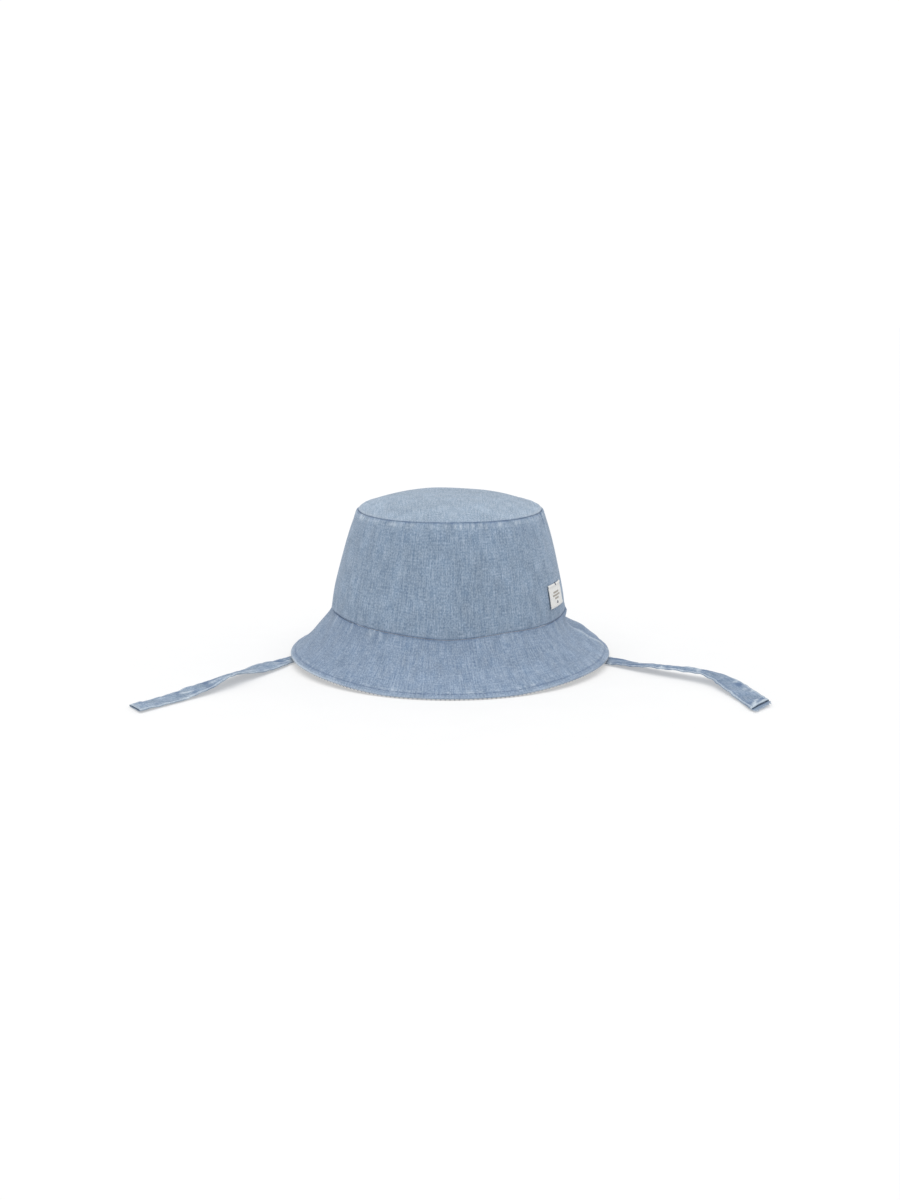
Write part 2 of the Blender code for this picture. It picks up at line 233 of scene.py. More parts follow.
def base_seam(angle):
    height = BASE_SEAM_Z - BASE_SEAM_DIP * math.cos(2 * angle) + BASE_SEAM_LEAN * math.sin(angle)
    height += BASE_SEAM_WANDER * (swell(angle, 0.50, 0.26) - swell(angle, -0.04, 0.28))
    return on_oval(BASE_SEAM, angle, height) + Vector((BASE_SEAM_SHIFT, 0, 0))


def tip_seam(angle, share=1.0):
    """The tip's oval, which rides a little higher at the front; share shrinks it towards the middle."""
    height = TIP_SEAM_Z + TIP_FRONT_LIFT * swell(angle, 0.08, 0.55) * share
    return on_oval((TIP_SEAM[0] * share, TIP_SEAM[1] * share), angle, height)


def brim_edge_z(angle):
    """Flat on the table at the front and back, lifted where the ties pass under the sides."""
    flat = math.sin(FLAT_HALF_ANGLE) ** 2
    side = max(0.0, (math.sin(angle) ** 2 - flat) / (1 - flat))
    return BRIM_EDGE_Z + BRIM_SIDE_LIFT * side + BRIM_CORNER_LIFT * 4 * side * (1 - side)


def crown_side_face(angle, across):
    """Outer face of the crown's wall: across runs from the base seam at 0 to the tip seam at 1."""
    straight = base_seam(angle).lerp(tip_seam(angle), across)
    bulge = CROWN_BULGE * (1 - abs(2 * across - 1) ** 4)
    return straight + bulge * Vector((math.sin(angle), -math.cos(angle), 0))


def brim_face(angle, across):
    """Upper face of the brim: across runs from the base seam at 0 to the edge at 1."""
    straight = base_seam(angle).lerp(on_oval(BRIM_EDGE, angle, brim_edge_z(angle)), across)
    hollow = BRIM_HOLLOW * 4 * across * (1 - across)
    return straight - hollow * Vector((math.sin(angle), -math.cos(angle), 1))


def tip_face(angle, across):
    """Upper face of the domed tip: across runs from its middle at 0 to the tip seam at 1."""
    dome = 1 - across ** TIP_ROUNDNESS
    lean = TIP_LEAN * dome * across * math.sin(angle)
    return tip_seam(angle, across) + Vector((0, 0, TIP_RISE * dome - lean))


def slopes(face, angle, across):
    """Directions round the hat and over the panel at a point of a face."""
    step = 1e-3
    inside = min(max(across, 2 * step), 1 - step)
    round_hat = face(angle + step, inside) - face(angle - step, inside)
    over_panel = face(angle, inside + step) - face(angle, inside - step)
    return round_hat, over_panel


@functools.cache
def outward(face, angle, across):
    """Unit normal of a face, pointing out of the hat."""
    round_hat, over_panel = slopes(face, angle, across)
    normal = round_hat.cross(over_panel).normalized()
    away = face(angle, across) - Vector((0, 0, 0.02))
    return normal if normal.dot(away) > 0 else -normal


@functools.cache
def tip_corner(angle):
    """The way out of the tip seam, half way between the wall and the tip."""
    return (outward(crown_side_face, angle, 1.0) + outward(tip_face, angle, 1.0)).normalized()


@functools.cache
def base_corner(angle):
    """The way out of the base seam, half way between the wall and the brim."""
    return (outward(crown_side_face, angle, 0.0) + outward(brim_face, angle, 0.0)).normalized()


# Folds, puckers and creases

def drift(u, v, size_u, size_v, seed):
    """Smooth wandering from about -1 to 1, with waves of the given sizes."""
    return noise.noise(Vector((u / size_u, v / size_v, 7.31 * seed)))


def drift_round(angle, radius, height, size_u, size_v, seed):
    """The same wandering on a ring round the hat, which meets itself after a full turn."""
    place = (math.sin(angle) * radius / size_u, math.cos(angle) * radius / size_u)
    return noise.noise(Vector((*place, height / size_v + 7.31 * seed)))


def near(distance, reach):
    """1 at no distance, dying away over the reach."""
    return math.exp(-abs(distance) / reach)


def ridge_at(offset, half_width):
    """1 on the ridge's line, falling off smoothly on both sides."""
    return math.exp(-(offset / half_width) ** 2)


def ramp(value, low, high):
    share = min(max((value - low) / (high - low), 0.0), 1.0)
    return share * share * (3 - 2 * share)


def beside(distance):
    """0 on a seam's own line, where the cloths meet, and 1 from just beside it."""
    return ramp(distance, 0, 0.0014)


def crown_relief(angle, height):
    """How far the wall's cloth stands out from the panel's smooth shape."""
    below_tip = CROWN_WALL - height
    held = ramp(height, 0, 0.015) * ramp(below_tip, 0, 0.012)
    waves = functools.partial(drift_round, angle, CROWN_RADIUS)
    relief = held * 0.00050 * waves(height, 0.028, 0.040, 1)
    relief += held * 0.00020 * waves(height, 0.008, 0.026, 2)
    relief += 0.00095 * near(below_tip, 0.0038) * waves(below_tip, 0.0034, 0.012, 3) * beside(below_tip)
    relief += 0.00040 * near(height, 0.0060) * waves(height, 0.0038, 0.014, 4) * beside(height)
    shoulder = 0.00035 * abs(math.sin(angle)) ** 3 * ridge_at(below_tip - 0.0026, 0.0022)
    return relief + shoulder + pleat(angle, below_tip) + tie_pinch(angle, height)


def pleat_line(angle, below_tip):
    """Distance round the hat from the middle of the pleat, which leans a little."""
    return angle * CROWN_RADIUS - PLEAT_GIRTH + 0.10 * below_tip


def pleat(angle, below_tip):
    """A short pleat caught in the tip seam, with its cloth heaped on one side."""
    line = pleat_line(angle, below_tip)
    length = ramp(0.0135 - below_tip, 0, 0.009)
    return length * (0.00045 * ridge_at(line - 0.0017, 0.0012) - 0.00085 * ridge_at(line, 0.00075))


def tie_pinch(angle, height):
    """The cloth bunches just above the base seam where each tie is sewn in."""
    left = swell_at(angle, -78, 0.16)
    right = swell_at(angle, 92, 0.18)
    pull = 0.0008 * left + 0.0010 * right
    return pull * near(height - 0.0012, 0.0026) * ramp(height, -0.0004, 0.0010)


def seam_shade(angle, radius, distance, seed):
    """How dark the line of a seam is, painted shade of the seam's groove: it comes and goes along the seam.
    """
    uneven = 0.95 + 0.8 * drift_round(angle, radius, 0, 0.007, 1, seed)
    return uneven * near(distance, 0.00055)


def base_seam_shade(angle, distance):
    """The base seam's painted shade is deepest left of the front, and hardly shows to the right of it."""
    deeper = 1 + 0.15 * swell(angle, -0.35, 0.35) - 0.55 * swell(angle, 0.42, 0.20)
    return deeper * seam_shade(angle, CROWN_RADIUS, distance, 41)


def pressed_marks(angle, radius, distance, reach, seed):
    """Deeper blue patches that the washing leaves beside a seam, where the cloth is thickest."""
    patch = 1.6 * drift_round(angle, radius, distance, 0.0075, 0.016, seed)
    patch += 1.0 * drift_round(angle, radius, distance, 0.0026, 0.008, seed + 1)
    return max(0.0, patch) * near(distance, reach)


def crown_wear_and_shade(angle, height, relief):
    """How worn the wall's cloth is at a place, how dark from its seams' dye and painted shade, and how
    raised it is, which sets its painted highlight or shade.
    """
    below_tip = CROWN_WALL - height
    seam = base_seam_shade(angle, height) + seam_shade(angle, CROWN_RADIUS, below_tip, 42)
    seam += 0.50 * pressed_marks(angle, CROWN_RADIUS, below_tip, 0.0042, 45)
    seam += 0.18 * pressed_marks(angle, CROWN_RADIUS, height, 0.0080, 47)
    # Painted shade in the pleat's fold.
    seam += 0.9 * ridge_at(pleat_line(angle, below_tip), 0.0006) * ramp(0.0125 - below_tip, 0, 0.009)
    flecks = max(0.0, drift_round(angle, CROWN_RADIUS, below_tip, 0.0018, 0.0060, 49))
    worn = (0.12 + 1.5 * flecks) * ridge_at(below_tip - 0.0021, 0.0015)
    worn += 0.12 * ridge_at(height - 0.0018, 0.0008)
    return (min(worn, 1.0), min(seam, 1.0), relief / FULL_RIDGE)


def fold_line(across):
    """The angle of the sharp fold down the brim's +X side."""
    return math.radians(88 - 7 * math.sin(math.pi * min(across, 0.9) / 0.9))


def side_fold(angle, across):
    """The brim breaks over a fold on its +X side, and buckles where the other tie pulls at it."""
    fold = swell_at(angle, 90, 0.20) * ramp(across, 0.22, 0.50) * ramp(1 - across, 0, 0.28)
    crest = swell(angle, fold_line(across), 0.020) * ramp(across, 0.08, 0.25) * ramp(1 - across, 0, 0.10)
    dip = swell_at(angle, 92, 0.34) * ramp(across, 0.02, 0.14) * ramp(0.46 - across, 0, 0.24)
    hollow = swell_at(angle, 70, 0.13) * ramp(across, 0, 0.3) * ramp(1 - across, 0, 0.35)
    notch = swell_at(angle, -80, 0.10) * ridge_at(across - 0.13, 0.07)
    bump = swell_at(angle, -86, 0.16) * ridge_at(across - 0.40, 0.20)
    risen = 0.0028 * fold + 0.0004 * crest + 0.0007 * bump
    return risen - 0.0030 * dip - 0.0008 * hollow - 0.0011 * notch


def seam_heap(angle, across):
    """The brim's upper cloth bulges just under the base seam on the +X side."""
    heap = swell_at(angle, 92, 0.22) * ramp(across, 0, 0.03)
    return 0.0016 * heap * ridge_at(across - 0.04, 0.05)


def brim_sway(angle, across):
    """Slow waves of the whole brim, which its layers share. The standing edges stay on the table."""
    free = ramp(across, 0, 0.35) * ramp(1 - across, 0, 0.35)
    sway = free * 0.0009 * drift_round(angle, BRIM_RADIUS, across, 0.036, 1.2, 5)
    return sway + side_fold(angle, across)


# Light creases that fan out from the base seam: angle in degrees, reach and rise in metres, and lean.
BRIM_CREASES = (
    (-52, 0.0080, 0.00028, 0.10),
    (-40, 0.0060, 0.00030, 0.55),
    (-37, 0.0065, 0.00030, -0.20),
    (-34, 0.0055, 0.00026, 0.60),
    (-25, 0.0045, 0.00020, 0.80),
    (-68, 0.0090, 0.00032, -0.10),
    (27, 0.0050, 0.00020, -0.50),
    (31, 0.0060, 0.00022, -0.15),
    (63, 0.0080, 0.00026, -0.20),
    (128, 0.0080, 0.00028, 0.20),
    (-150, 0.0070, 0.00024, -0.20),
    (-112, 0.0085, 0.00030, 0.25),
)


def brim_pucker(angle, across):
    """Small puckers of the brim's upper cloth at its seam and along its stitched edge."""
    from_seam = across * BRIM_SLANT
    from_edge = BRIM_SLANT - from_seam
    waves = functools.partial(drift_round, angle, BRIM_RADIUS)
    pucker = 0.00055 * near(from_seam, 0.0060) * waves(from_seam, 0.0042, 0.016, 6) * beside(from_seam)
    pucker += 0.00020 * waves(from_seam, 0.010, 0.012, 7) * ramp(from_seam, 0, 0.006)
    pucker += 0.00036 * near(from_edge - STITCH_INSET, 0.0022) * waves(from_edge, 0.0026, 0.010, 8)
    return pucker - 0.00010 * ridge_at(from_edge - STITCH_INSET, 0.0005)


def creases(angle, across):
    """How far the creases beside the base seam stand up at a place on the brim."""
    height = 0.0
    from_seam = across * BRIM_SLANT
    if from_seam < 0.012:
        for degrees, reach, rise, lean in BRIM_CREASES:
            line = (angle - math.radians(degrees)) * BASE_SEAM[0] - lean * from_seam
            height += 1.2 * rise * ridge_at(line, 0.0006) * ramp(reach - from_seam, 0, reach * 0.7)
    return height


def brim_wear_and_shade(angle, across, relief):
    """The same three values for the brim's upper cloth."""
    from_seam = across * BRIM_SLANT
    from_edge = BRIM_SLANT - from_seam
    uneven = 0.6 + 0.7 * drift_round(angle, BRIM_RADIUS, 0, 0.012, 1, 43)
    flecks = max(0.0, drift_round(angle, BRIM_RADIUS, from_edge, 0.0022, 0.0050, 51))
    worn = 0.45 * uneven * near(from_edge, 0.0005) + 0.9 * flecks * ridge_at(from_edge - 0.0038, 0.0016)
    worn += 0.50 * min(creases(angle, across) / 0.00030, 1.0)
    worn += 0.70 * swell_at(angle, -64, 0.40) * near(from_edge, 0.0006)
    behind = angle - fold_line(across)
    worn += 0.75 * ridge_at(behind, 0.014) * ramp(across, 0.08, 0.25)
    seam = base_seam_shade(angle, from_seam)
    seam += 0.20 * pressed_marks(angle, BRIM_RADIUS, from_seam, 0.0070, 53)
    # Painted shade along the sunk line of stitches near the edge, uneven round the brim.
    sunk = 0.22 + 0.5 * max(0.0, -drift_round(angle, BRIM_RADIUS, 0, 0.0090, 1, 55))
    seam += sunk * ridge_at(from_edge - STITCH_INSET, 0.0006)
    seam += 0.20 * pressed_marks(angle, BRIM_RADIUS, from_edge, 0.0030, 57)
    # Painted shade on the facet behind the fold's crest.
    seam += 0.36 * ridge_at(behind - 0.055, 0.035) * ramp(across, 0.08, 0.25)
    seam += 0.09 * swell_at(angle, -62, 0.40)
    return (min(worn, 1.0), min(seam, 1.0), relief / FULL_RIDGE)


# Sheets

def spaced(length, step, fine=0.00022, growth=1.5):
    """Shares from 0 to 1 of a length: close together at both ends and a step apart between them."""
    edge = [0.0]
    gap = fine
    while gap < step:
        edge.append(edge[-1] + gap)
        gap *= growth
    middle = length - 2 * edge[-1]
    count = max(1, round(middle / step))
    inner = [edge[-1] + middle * n / count for n in range(1, count)]
    places = edge + inner + [length - place for place in reversed(edge)]
    return [place / length for place in places]


def sheet_piece(name, columns, rows, point_at, thickness, material, body="hat"):
    """A sheet of quads. point_at gives a point, its face's normal, its place on the cloth and its wear and
    painted shade.
    """
    builder = bmesh.new()
    cloth = builder.verts.layers.float_vector.new("cloth")
    wear_and_shade = builder.verts.layers.float_vector.new("wear_and_shade")
    lines = []
    facing = []
    for row in rows:
        line = []
        for column in columns:
            place, normal, on_cloth, look = point_at(column, row)
            vertex = builder.verts.new(place)
            vertex[cloth] = on_cloth
            vertex[wear_and_shade] = look
            line.append(vertex)
        facing.append(normal)
        lines.append(line)
    agree = 0.0
    for lower, upper, normal in zip(lines, lines[1:], facing):
        for corners in zip(lower, lower[1:], upper[1:], upper):
            face = builder.faces.new(corners)
        face.normal_update()
        agree += face.normal.dot(normal)
    if agree < 0:
        bmesh.ops.reverse_faces(builder, faces=builder.faces)
    bmesh.ops.remove_doubles(builder, verts=builder.verts, dist=1e-6)
    mesh = bpy.data.meshes.new(name)
    builder.to_mesh(mesh)
    builder.free()
    mesh.shade_smooth()
    mesh.materials.append(material)
    piece = add_object(name, mesh)
    if thickness:
        solidify = piece.modifiers.new("Cloth thickness", "SOLIDIFY")
        solidify.thickness = thickness
        solidify.offset = -1
    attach(piece, body)
    return piece


def half_angles(back, shares):
    """Angles of the front or the back half, from one side seam to the other."""
    short = SEAM_GAP / BASE_SEAM[0]
    middle = math.pi if back else 0.0
    start = middle - math.pi / 2 + short
    return [start + (math.pi - 2 * short) * share for share in shares]


def by_side_seam(angle, radius, reach):
    """1 on either side seam, dying away over the reach."""
    return near(abs(math.cos(angle)) * radius, reach)


def side_tuck(angle, radius):
    """How far the outer cloth dips into a side seam."""
    return 0.6 * SEAM_TUCK * by_side_seam(angle, radius, SEAM_REACH)


def crown_outer_point(angle, across):
    height = across * CROWN_WALL
    relief = crown_relief(angle, height)
    normal = outward(crown_side_face, angle, across)
    place = crown_side_face(angle, across) + (relief - side_tuck(angle, CROWN_RADIUS)) * normal
    place -= SEAM_TUCK * near(CROWN_WALL - height, SEAM_REACH) * tip_corner(angle)
    place -= SEAM_TUCK * near(height, SEAM_REACH) * base_corner(angle)
    worn, seam, ridge_shading = crown_wear_and_shade(angle, height, relief)
    # Painted shade along the side seams.
    seam = max(seam, by_side_seam(angle, CROWN_RADIUS, 0.0004))
    return place, normal, (angle * CROWN_RADIUS, height, 0.0), (worn, seam, ridge_shading)


def crown_lining_point(angle, across):
    height = across * CROWN_WALL
    below_tip = CROWN_WALL - height
    held = ramp(height, 0, 0.010) * ramp(below_tip, 0, 0.010)
    waves = functools.partial(drift_round, angle, CROWN_RADIUS)
    relief = -held * 0.0009 * (0.5 + 0.5 * waves(height, 0.016, 0.030, 11))
    relief += 0.0003 * near(below_tip, 0.006) * waves(height, 0.0035, 0.012, 12)
    relief += 0.0003 * near(height, 0.006) * waves(height, 0.0035, 0.012, 13)
    normal = outward(crown_side_face, angle, across)
    place = crown_side_face(angle, across) - (CROWN_LINING_DEPTH - relief) * normal
    seam = near(height, 0.0007) + near(below_tip, 0.0007)
    seam += by_side_seam(angle, CROWN_RADIUS, 0.0006)
    on_cloth = (angle * CROWN_RADIUS, height, 3.0)
    return place, normal, on_cloth, (0.0, min(seam, 1.0), -relief / 0.0009)


def tip_point(depth, slack, seed):
    """Points of a tip layer: the outer cloth at no depth, or the lining under it."""
    def point_at(angle, across):
        from_seam = (1 - across) * TIP_RADIUS
        flat = on_oval((TIP_SEAM[0] * across, TIP_SEAM[1] * across), angle, 0)
        relief = ramp(from_seam, 0, 0.012) * slack * drift(flat.x, flat.y, 0.024, 0.030, seed)
        ripple = drift_round(angle, TIP_RADIUS, from_seam, 0.0032, 0.012, seed + 1)
        relief += 0.00045 * near(from_seam, 0.0040) * ripple * beside(from_seam)
        relief += 0.00060 * abs(math.sin(angle)) ** 3 * ridge_at(from_seam - 0.0034, 0.0026)
        normal = outward(tip_face, angle, across)
        place = tip_face(angle, across) + (relief - depth) * normal
        place -= SEAM_TUCK * near(from_seam, SEAM_REACH) * tip_corner(angle)
        sides = abs(math.sin(angle)) ** 3
        worn = (0.10 + 0.35 * sides) * ridge_at(from_seam - 0.0010, 0.0007)
        look = (worn, seam_shade(angle, CROWN_RADIUS, from_seam, 42), relief / 0.00045)
        return place, normal, (flat.x, flat.y, seed), look
    return point_at


def edge_circle(angle):
    """Middle of the brim edge's roll, and its ways out of the face and on past the edge."""
    turn = 1 - EDGE_ROLL_RADIUS / BRIM_SLANT
    out = outward(brim_face, angle, turn)
    onward = slopes(brim_face, angle, turn)[1].normalized()
    return brim_face(angle, turn) - EDGE_ROLL_RADIUS * out, out, onward


def brim_skin(angle, station):
    """Point and normal on the brim's outside. Stations 0 to 1 are its upper face, 1 to 3 go round
    the edge, and 3 to 4 are its underside."""
    turn = 1 - EDGE_ROLL_RADIUS / BRIM_SLANT
    if 1 < station < 3:
        middle, out, onward = edge_circle(angle)
        roll = (station - 1) * math.pi / 2
        normal = math.cos(roll) * out + math.sin(roll) * onward
        return middle + EDGE_ROLL_RADIUS * normal, normal
    across = turn * (station if station <= 1 else 4 - station)
    out = outward(brim_face, angle, across)
    if station <= 1:
        return brim_face(angle, across), out
    return brim_face(angle, across) - 2 * EDGE_ROLL_RADIUS * out, -out


def brim_upper_point(angle, station):
    across = min(station, 1.0)
    fold = brim_pucker(angle, across) + creases(angle, across)
    if station > 1:
        fold *= max(0.0, 1 - 1.6 * (station - 1))
    place, normal = brim_skin(angle, min(station, EDGE_SEAM - UPPER_TURN_IN))
    place -= normal * (EDGE_DIVE * max(0.0, station - EDGE_SEAM + UPPER_TURN_IN))
    place += (fold + seam_heap(angle, across) - side_tuck(angle, BRIM_RADIUS)) * normal
    place += brim_sway(angle, across) * outward(brim_face, angle, across)
    place -= SEAM_TUCK * near(across * BRIM_SLANT, SEAM_REACH) * base_corner(angle)
    worn, seam, ridge_shading = brim_wear_and_shade(angle, across, fold)
    # Painted shade along the side seams.
    seam = max(seam, by_side_seam(angle, BRIM_RADIUS, 0.0004))
    # Painted shade where the upper cloth turns into the edge's seam.
    seam = max(seam, ramp(station, EDGE_SEAM - 0.18, EDGE_SEAM - 0.04))
    past_edge = EDGE_ROLL_LENGTH * max(0.0, station - 1)
    on_cloth = (angle * BRIM_RADIUS, across * BRIM_SLANT + past_edge, 1.0)
    return place, normal, on_cloth, (worn, seam, ridge_shading)


def brim_under_point(angle, station):
    across = min(4 - station, 1.0)
    from_edge = (1 - across) * BRIM_SLANT
    ripple = drift_round(angle, BRIM_RADIUS, from_edge, 0.009, 0.012, 14)
    fold = 0.00010 * ripple * ramp(from_edge, 0, 0.004)
    fold -= 0.00012 * ridge_at(from_edge - STITCH_INSET, 0.0005)
    place, normal = brim_skin(angle, max(station, EDGE_SEAM + UNDER_TURN_IN))
    place -= normal * (EDGE_DIVE * max(0.0, EDGE_SEAM + UNDER_TURN_IN - station))
    place += fold * normal
    place += brim_sway(angle, across) * outward(brim_face, angle, across)
    seam = near(across * BRIM_SLANT, 0.0007) + by_side_seam(angle, BRIM_RADIUS, 0.0006)
    worn = 0.3 * near(from_edge, 0.0010)
    on_cloth = (angle * BRIM_RADIUS, across * BRIM_SLANT, 4.0)
    return place, normal, on_cloth, (worn, min(seam, 1.0), fold / 0.0003)


def interlining_point(angle, across):
    normal = outward(brim_face, angle, across)
    place = brim_face(angle, across) + (brim_sway(angle, across) - INTERLINING_DEPTH) * normal
    on_cloth = (angle * BRIM_RADIUS, across * BRIM_SLANT, 5.0)
    return place, normal, on_cloth, (0.0, 0.0, 0.0)


# Threads

def thread_piece(name, lines, radius, material, body="hat"):
    """Rows of stitches: each line of points is a length of thread."""
    curve = bpy.data.curves.new(name, "CURVE")
    curve.dimensions = "3D"
    curve.bevel_depth = radius
    curve.bevel_resolution = 1
    curve.use_fill_caps = True
    for line in lines:
        spline = curve.splines.new("POLY")
        spline.points.add(len(line) - 1)
        for spline_point, place in zip(spline.points, line):
            spline_point.co = (*place, 1.0)
        spline.use_smooth = True
    curve.materials.append(material)
    piece = add_object(name, curve)
    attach(piece, body)
    return piece


# A stitch's line: share of its length from its middle, and height in thread radii.
STITCH_PROFILE = ((-0.5, -0.9), (-0.36, 0.15), (-0.18, 0.65), (0.18, 0.65), (0.36, 0.15), (0.5, -0.9))


def stitch(start, end, normal, radius):
    """One stitch: it dips into the cloth at both ends and arches over it between them."""
    middle = (start + end) / 2
    return [middle + along * (end - start) + rise * radius * normal for along, rise in STITCH_PROFILE]


def stitch_row(point_at, count, share, radius):
    """Stitches along a line; point_at gives the place and normal at a share of the line's length."""
    row = []
    for n in range(count):
        start = point_at((n + 0.5 - share / 2) / count)
        end = point_at((n + 0.5 + share / 2) / count)
        normal = ((start[1] + end[1]) / 2).normalized()
        row.append(stitch(start[0], end[0], normal, radius))
    return row


def brim_line(face_point, station):
    """A line round the brim at one station of its upper or its lower cloth."""
    def point_at(share):
        return face_point(math.tau * share - math.pi, station)[:2]
    return point_at


# Ties

def smooth_route(route):
    """Rows along a smooth line through the route's own, about one tie row apart."""
    ends = [[2 * a - b for a, b in zip(route[0], route[1])],
            [2 * a - b for a, b in zip(route[-1], route[-2])]]
    held = [ends[0], *route, ends[1]]
    line = []
    for before, start, end, after in zip(held, held[1:], held[2:], held[3:]):
        steps = max(1, round((Vector(end[:3]) - Vector(start[:3])).length / TIE_ROW_LENGTH))
        for n in range(steps):
            line.append(between(before, start, end, after, n / steps))
    line.append(list(route[-1]))
    return line


def between(before, start, end, after, t):
    """Catmull-Rom: passes through start at 0 and end at 1."""
    return [0.5 * (2 * b + (c - a) * t + (2 * a - 5 * b + 4 * c - d) * t ** 2
                   + (3 * b - a - 3 * c + d) * t ** 3)
            for a, b, c, d in zip(before, start, end, after)]


def tie_rows(tack, route):
    """Rows of the tie, from just clear of its tack: place, ways across and up, width, curl, distance."""
    hold = Vector(tack)
    towards = (Vector(route[0][:3]) - hold).normalized()
    start = (*(hold + TIE_END_GAP * towards), *route[0][3:])
    line = smooth_route((start, *route))
    places = [Vector(row[:3]) for row in line]
    rows = []
    distance = 0.0
    for n, row in enumerate(line):
        ahead = places[min(n + 1, len(line) - 1)] - places[max(n - 1, 0)]
        level = ahead.cross(Vector((0, 0, 1))).normalized()
        upright = level.cross(ahead.normalized())
        twist = math.radians(row[3])
        sideways = math.cos(twist) * level + math.sin(twist) * upright
        upwards = math.cos(twist) * upright - math.sin(twist) * level
        if n:
            distance += (places[n] - places[n - 1]).length
        rows.append((places[n], sideways, upwards, row[4], row[5] * 0.001, distance))
    return rows


def tie_surface(rows, row, across, side, seed):
    """Point and normal on a tie: across from -1 to 1, on its upper side or its lower one."""
    point, normal, _ = tie_place(rows, row, across, side, seed)
    return point, normal


def tie_nip(seed, distance, across):
    """How tightly the left tie is nipped at a place; the right one isn't."""
    if seed != TIE_LEFT_SEED:
        return 0.0
    return ridge_at(distance - TIE_NIP, 0.0024) * ridge_at(across, 0.85)


def tie_place(rows, row, across, side, seed):
    """Point, normal and crumple on a tie, with across and side as for tie_surface."""
    place, sideways, upwards, width, curl, distance = rows[row]
    total = rows[-1][5]
    wander = across * TIE_WIDTH / 2
    on_table = ramp(distance, 0.030, 0.060)
    crumple = on_table * 0.00055 * drift(distance + 0.4 * wander, wander, 0.011, 0.012, seed)
    crumple += on_table * 0.00040 * drift(distance - 0.5 * wander, wander, 0.0042, 0.0100, seed + 1)
    from_end = total - distance
    half = TIE_THICKNESS / 2 * (1 - 0.75 * abs(across) ** 8)
    sewn = 0.35 * ridge_at(across - TIE_SEWN_EDGE, 0.07)
    half *= 1 - sewn - 0.30 * ridge_at(from_end - 0.0060, 0.0007)
    half += 0.00012 * ramp(0.0060 - from_end, 0, 0.0008)
    if side > 0:
        half += 0.14 * TIE_END_STEP[seed] * ramp(0.007 - from_end, 0, 0.007) * (1 - across ** 4)
    ruffle = 0.0004 * on_table * ramp(from_end, 0, 0.012)
    ruffle *= drift(distance, across, 0.0048, 1.6, seed + 5)
    lift = curl * (across * across - 0.35) + ruffle * across * across + max(crumple, half - place.z)
    nip = tie_nip(seed, distance, across)
    lift -= 0.0007 * nip
    edge = 1 + 0.05 * on_table * drift(distance, across, 0.0060, 1.0, seed + 2) - 0.30 * nip
    skew = TIE_END_SKEW[seed] * across * ramp(0.014 - from_end, 0, 0.014)
    if side < 0:
        skew += TIE_END_STEP[seed] * ramp(0.006 - from_end, 0, 0.006) * (1 - abs(across) ** 6)
    ahead = upwards.cross(sideways)
    point = place + sideways * (wander * width * edge) + upwards * (lift + side * half)
    point += skew * ahead
    normal = (side * upwards + sideways * across ** 7 * 2).normalized()
    return point, normal, crumple


def tie_piece(name, rows, seed, material, body):
    """The folded strip: a closed tube of cloth, pressed flat, turned in at its far end."""
    steps = [n / 8 for n in range(-8, 9)]
    sides = [(across, 1) for across in steps]
    sides += [(across, -1) for across in reversed(steps)] + [(-1.0, 1)]
    last = len(rows) - 1

    def point_at(side_number, row):
        across, side = sides[side_number]
        place, normal, crumple = tie_place(rows, min(row, last), across, side, seed)
        if row > last:
            turned_in = last - 2 * (row - last - 1)
            inside, _ = tie_surface(rows, turned_in, 0.94 * across, side, seed)
            across_from, _ = tie_surface(rows, turned_in, 0.94 * across, -side, seed)
            on_cloth = (across, 0.0, seed)
            # Painted shade inside the turned-in end.
            return inside.lerp(across_from, 0.25), normal, on_cloth, (0.0, 0.35, 0.0)
        distance = rows[row][5]
        worn = 0.80 * ridge_at(abs(across) - 0.90, 0.08)
        if side > 0:
            worn += 0.8 * near(rows[-1][5] - distance, 0.0010)
        wander = across * TIE_WIDTH / 2
        flecks = max(0.0, drift(distance - across * 0.006, wander, 0.0045, 0.0060, seed + 3))
        worn += 1.9 * flecks * flecks
        nip = tie_nip(seed, distance, across)
        # Painted shade in the nip's fold and in diagonal bands across the crumpled tie.
        seam = TIE_DEPTH[seed] + 0.25 * ridge_at(across - TIE_SEWN_EDGE, 0.05) + 1.2 * nip
        shade = drift(distance + across * 0.005, wander, 0.0055, 0.0110, seed + 4)
        seam += 1.7 * max(0.0, shade)
        on_cloth = (wander, distance, seed + 0.5 * side)
        # The crumple's rise gives its painted highlight and shade.
        look = (min(worn * (1 - nip), 1.0), min(seam, 1.0), side * crumple / 0.00022)
        return place, normal, on_cloth, look

    strip = sheet_piece(name, range(len(sides)), range(last + 3), point_at, 0, material,
                        body)
    close_ends(strip)
    return strip


def frayed_ends(rows, seed):
    """Loose yarns that stand out of the right tie's raw end."""
    yarns = []
    for n in range(TIE_YARNS):
        across = -0.95 + 1.9 * (n + 0.5 * noise.noise(Vector((n * 1.7, 0, 3.1)))) / TIE_YARNS
        start, normal = tie_surface(rows, len(rows) - 1, across, -1, seed)
        before, _ = tie_surface(rows, len(rows) - 3, across, -1, seed)
        ahead = (start - before).normalized()
        side = normal.cross(ahead)
        longest = 0.0040 * abs(noise.noise(Vector((n * 2.3, 5.0, 0.4))))
        reach = 0.0008 + longest * (0.6 + 1.6 * across ** 4)
        sway = 0.9 * noise.noise(Vector((n * 1.9, 8.0, 1.2)))
        rise = 0.35 + 0.5 * noise.noise(Vector((n * 1.3, 2.0, 9.0)))
        line = [start - 0.0006 * ahead]
        for step in (0.35, 0.7, 1.0):
            bend = reach * (step * ahead + sway * step * step * side)
            line.append(start + bend - normal * (rise * reach * step * (1.2 - step)))
        yarns.append(line)
    return yarns


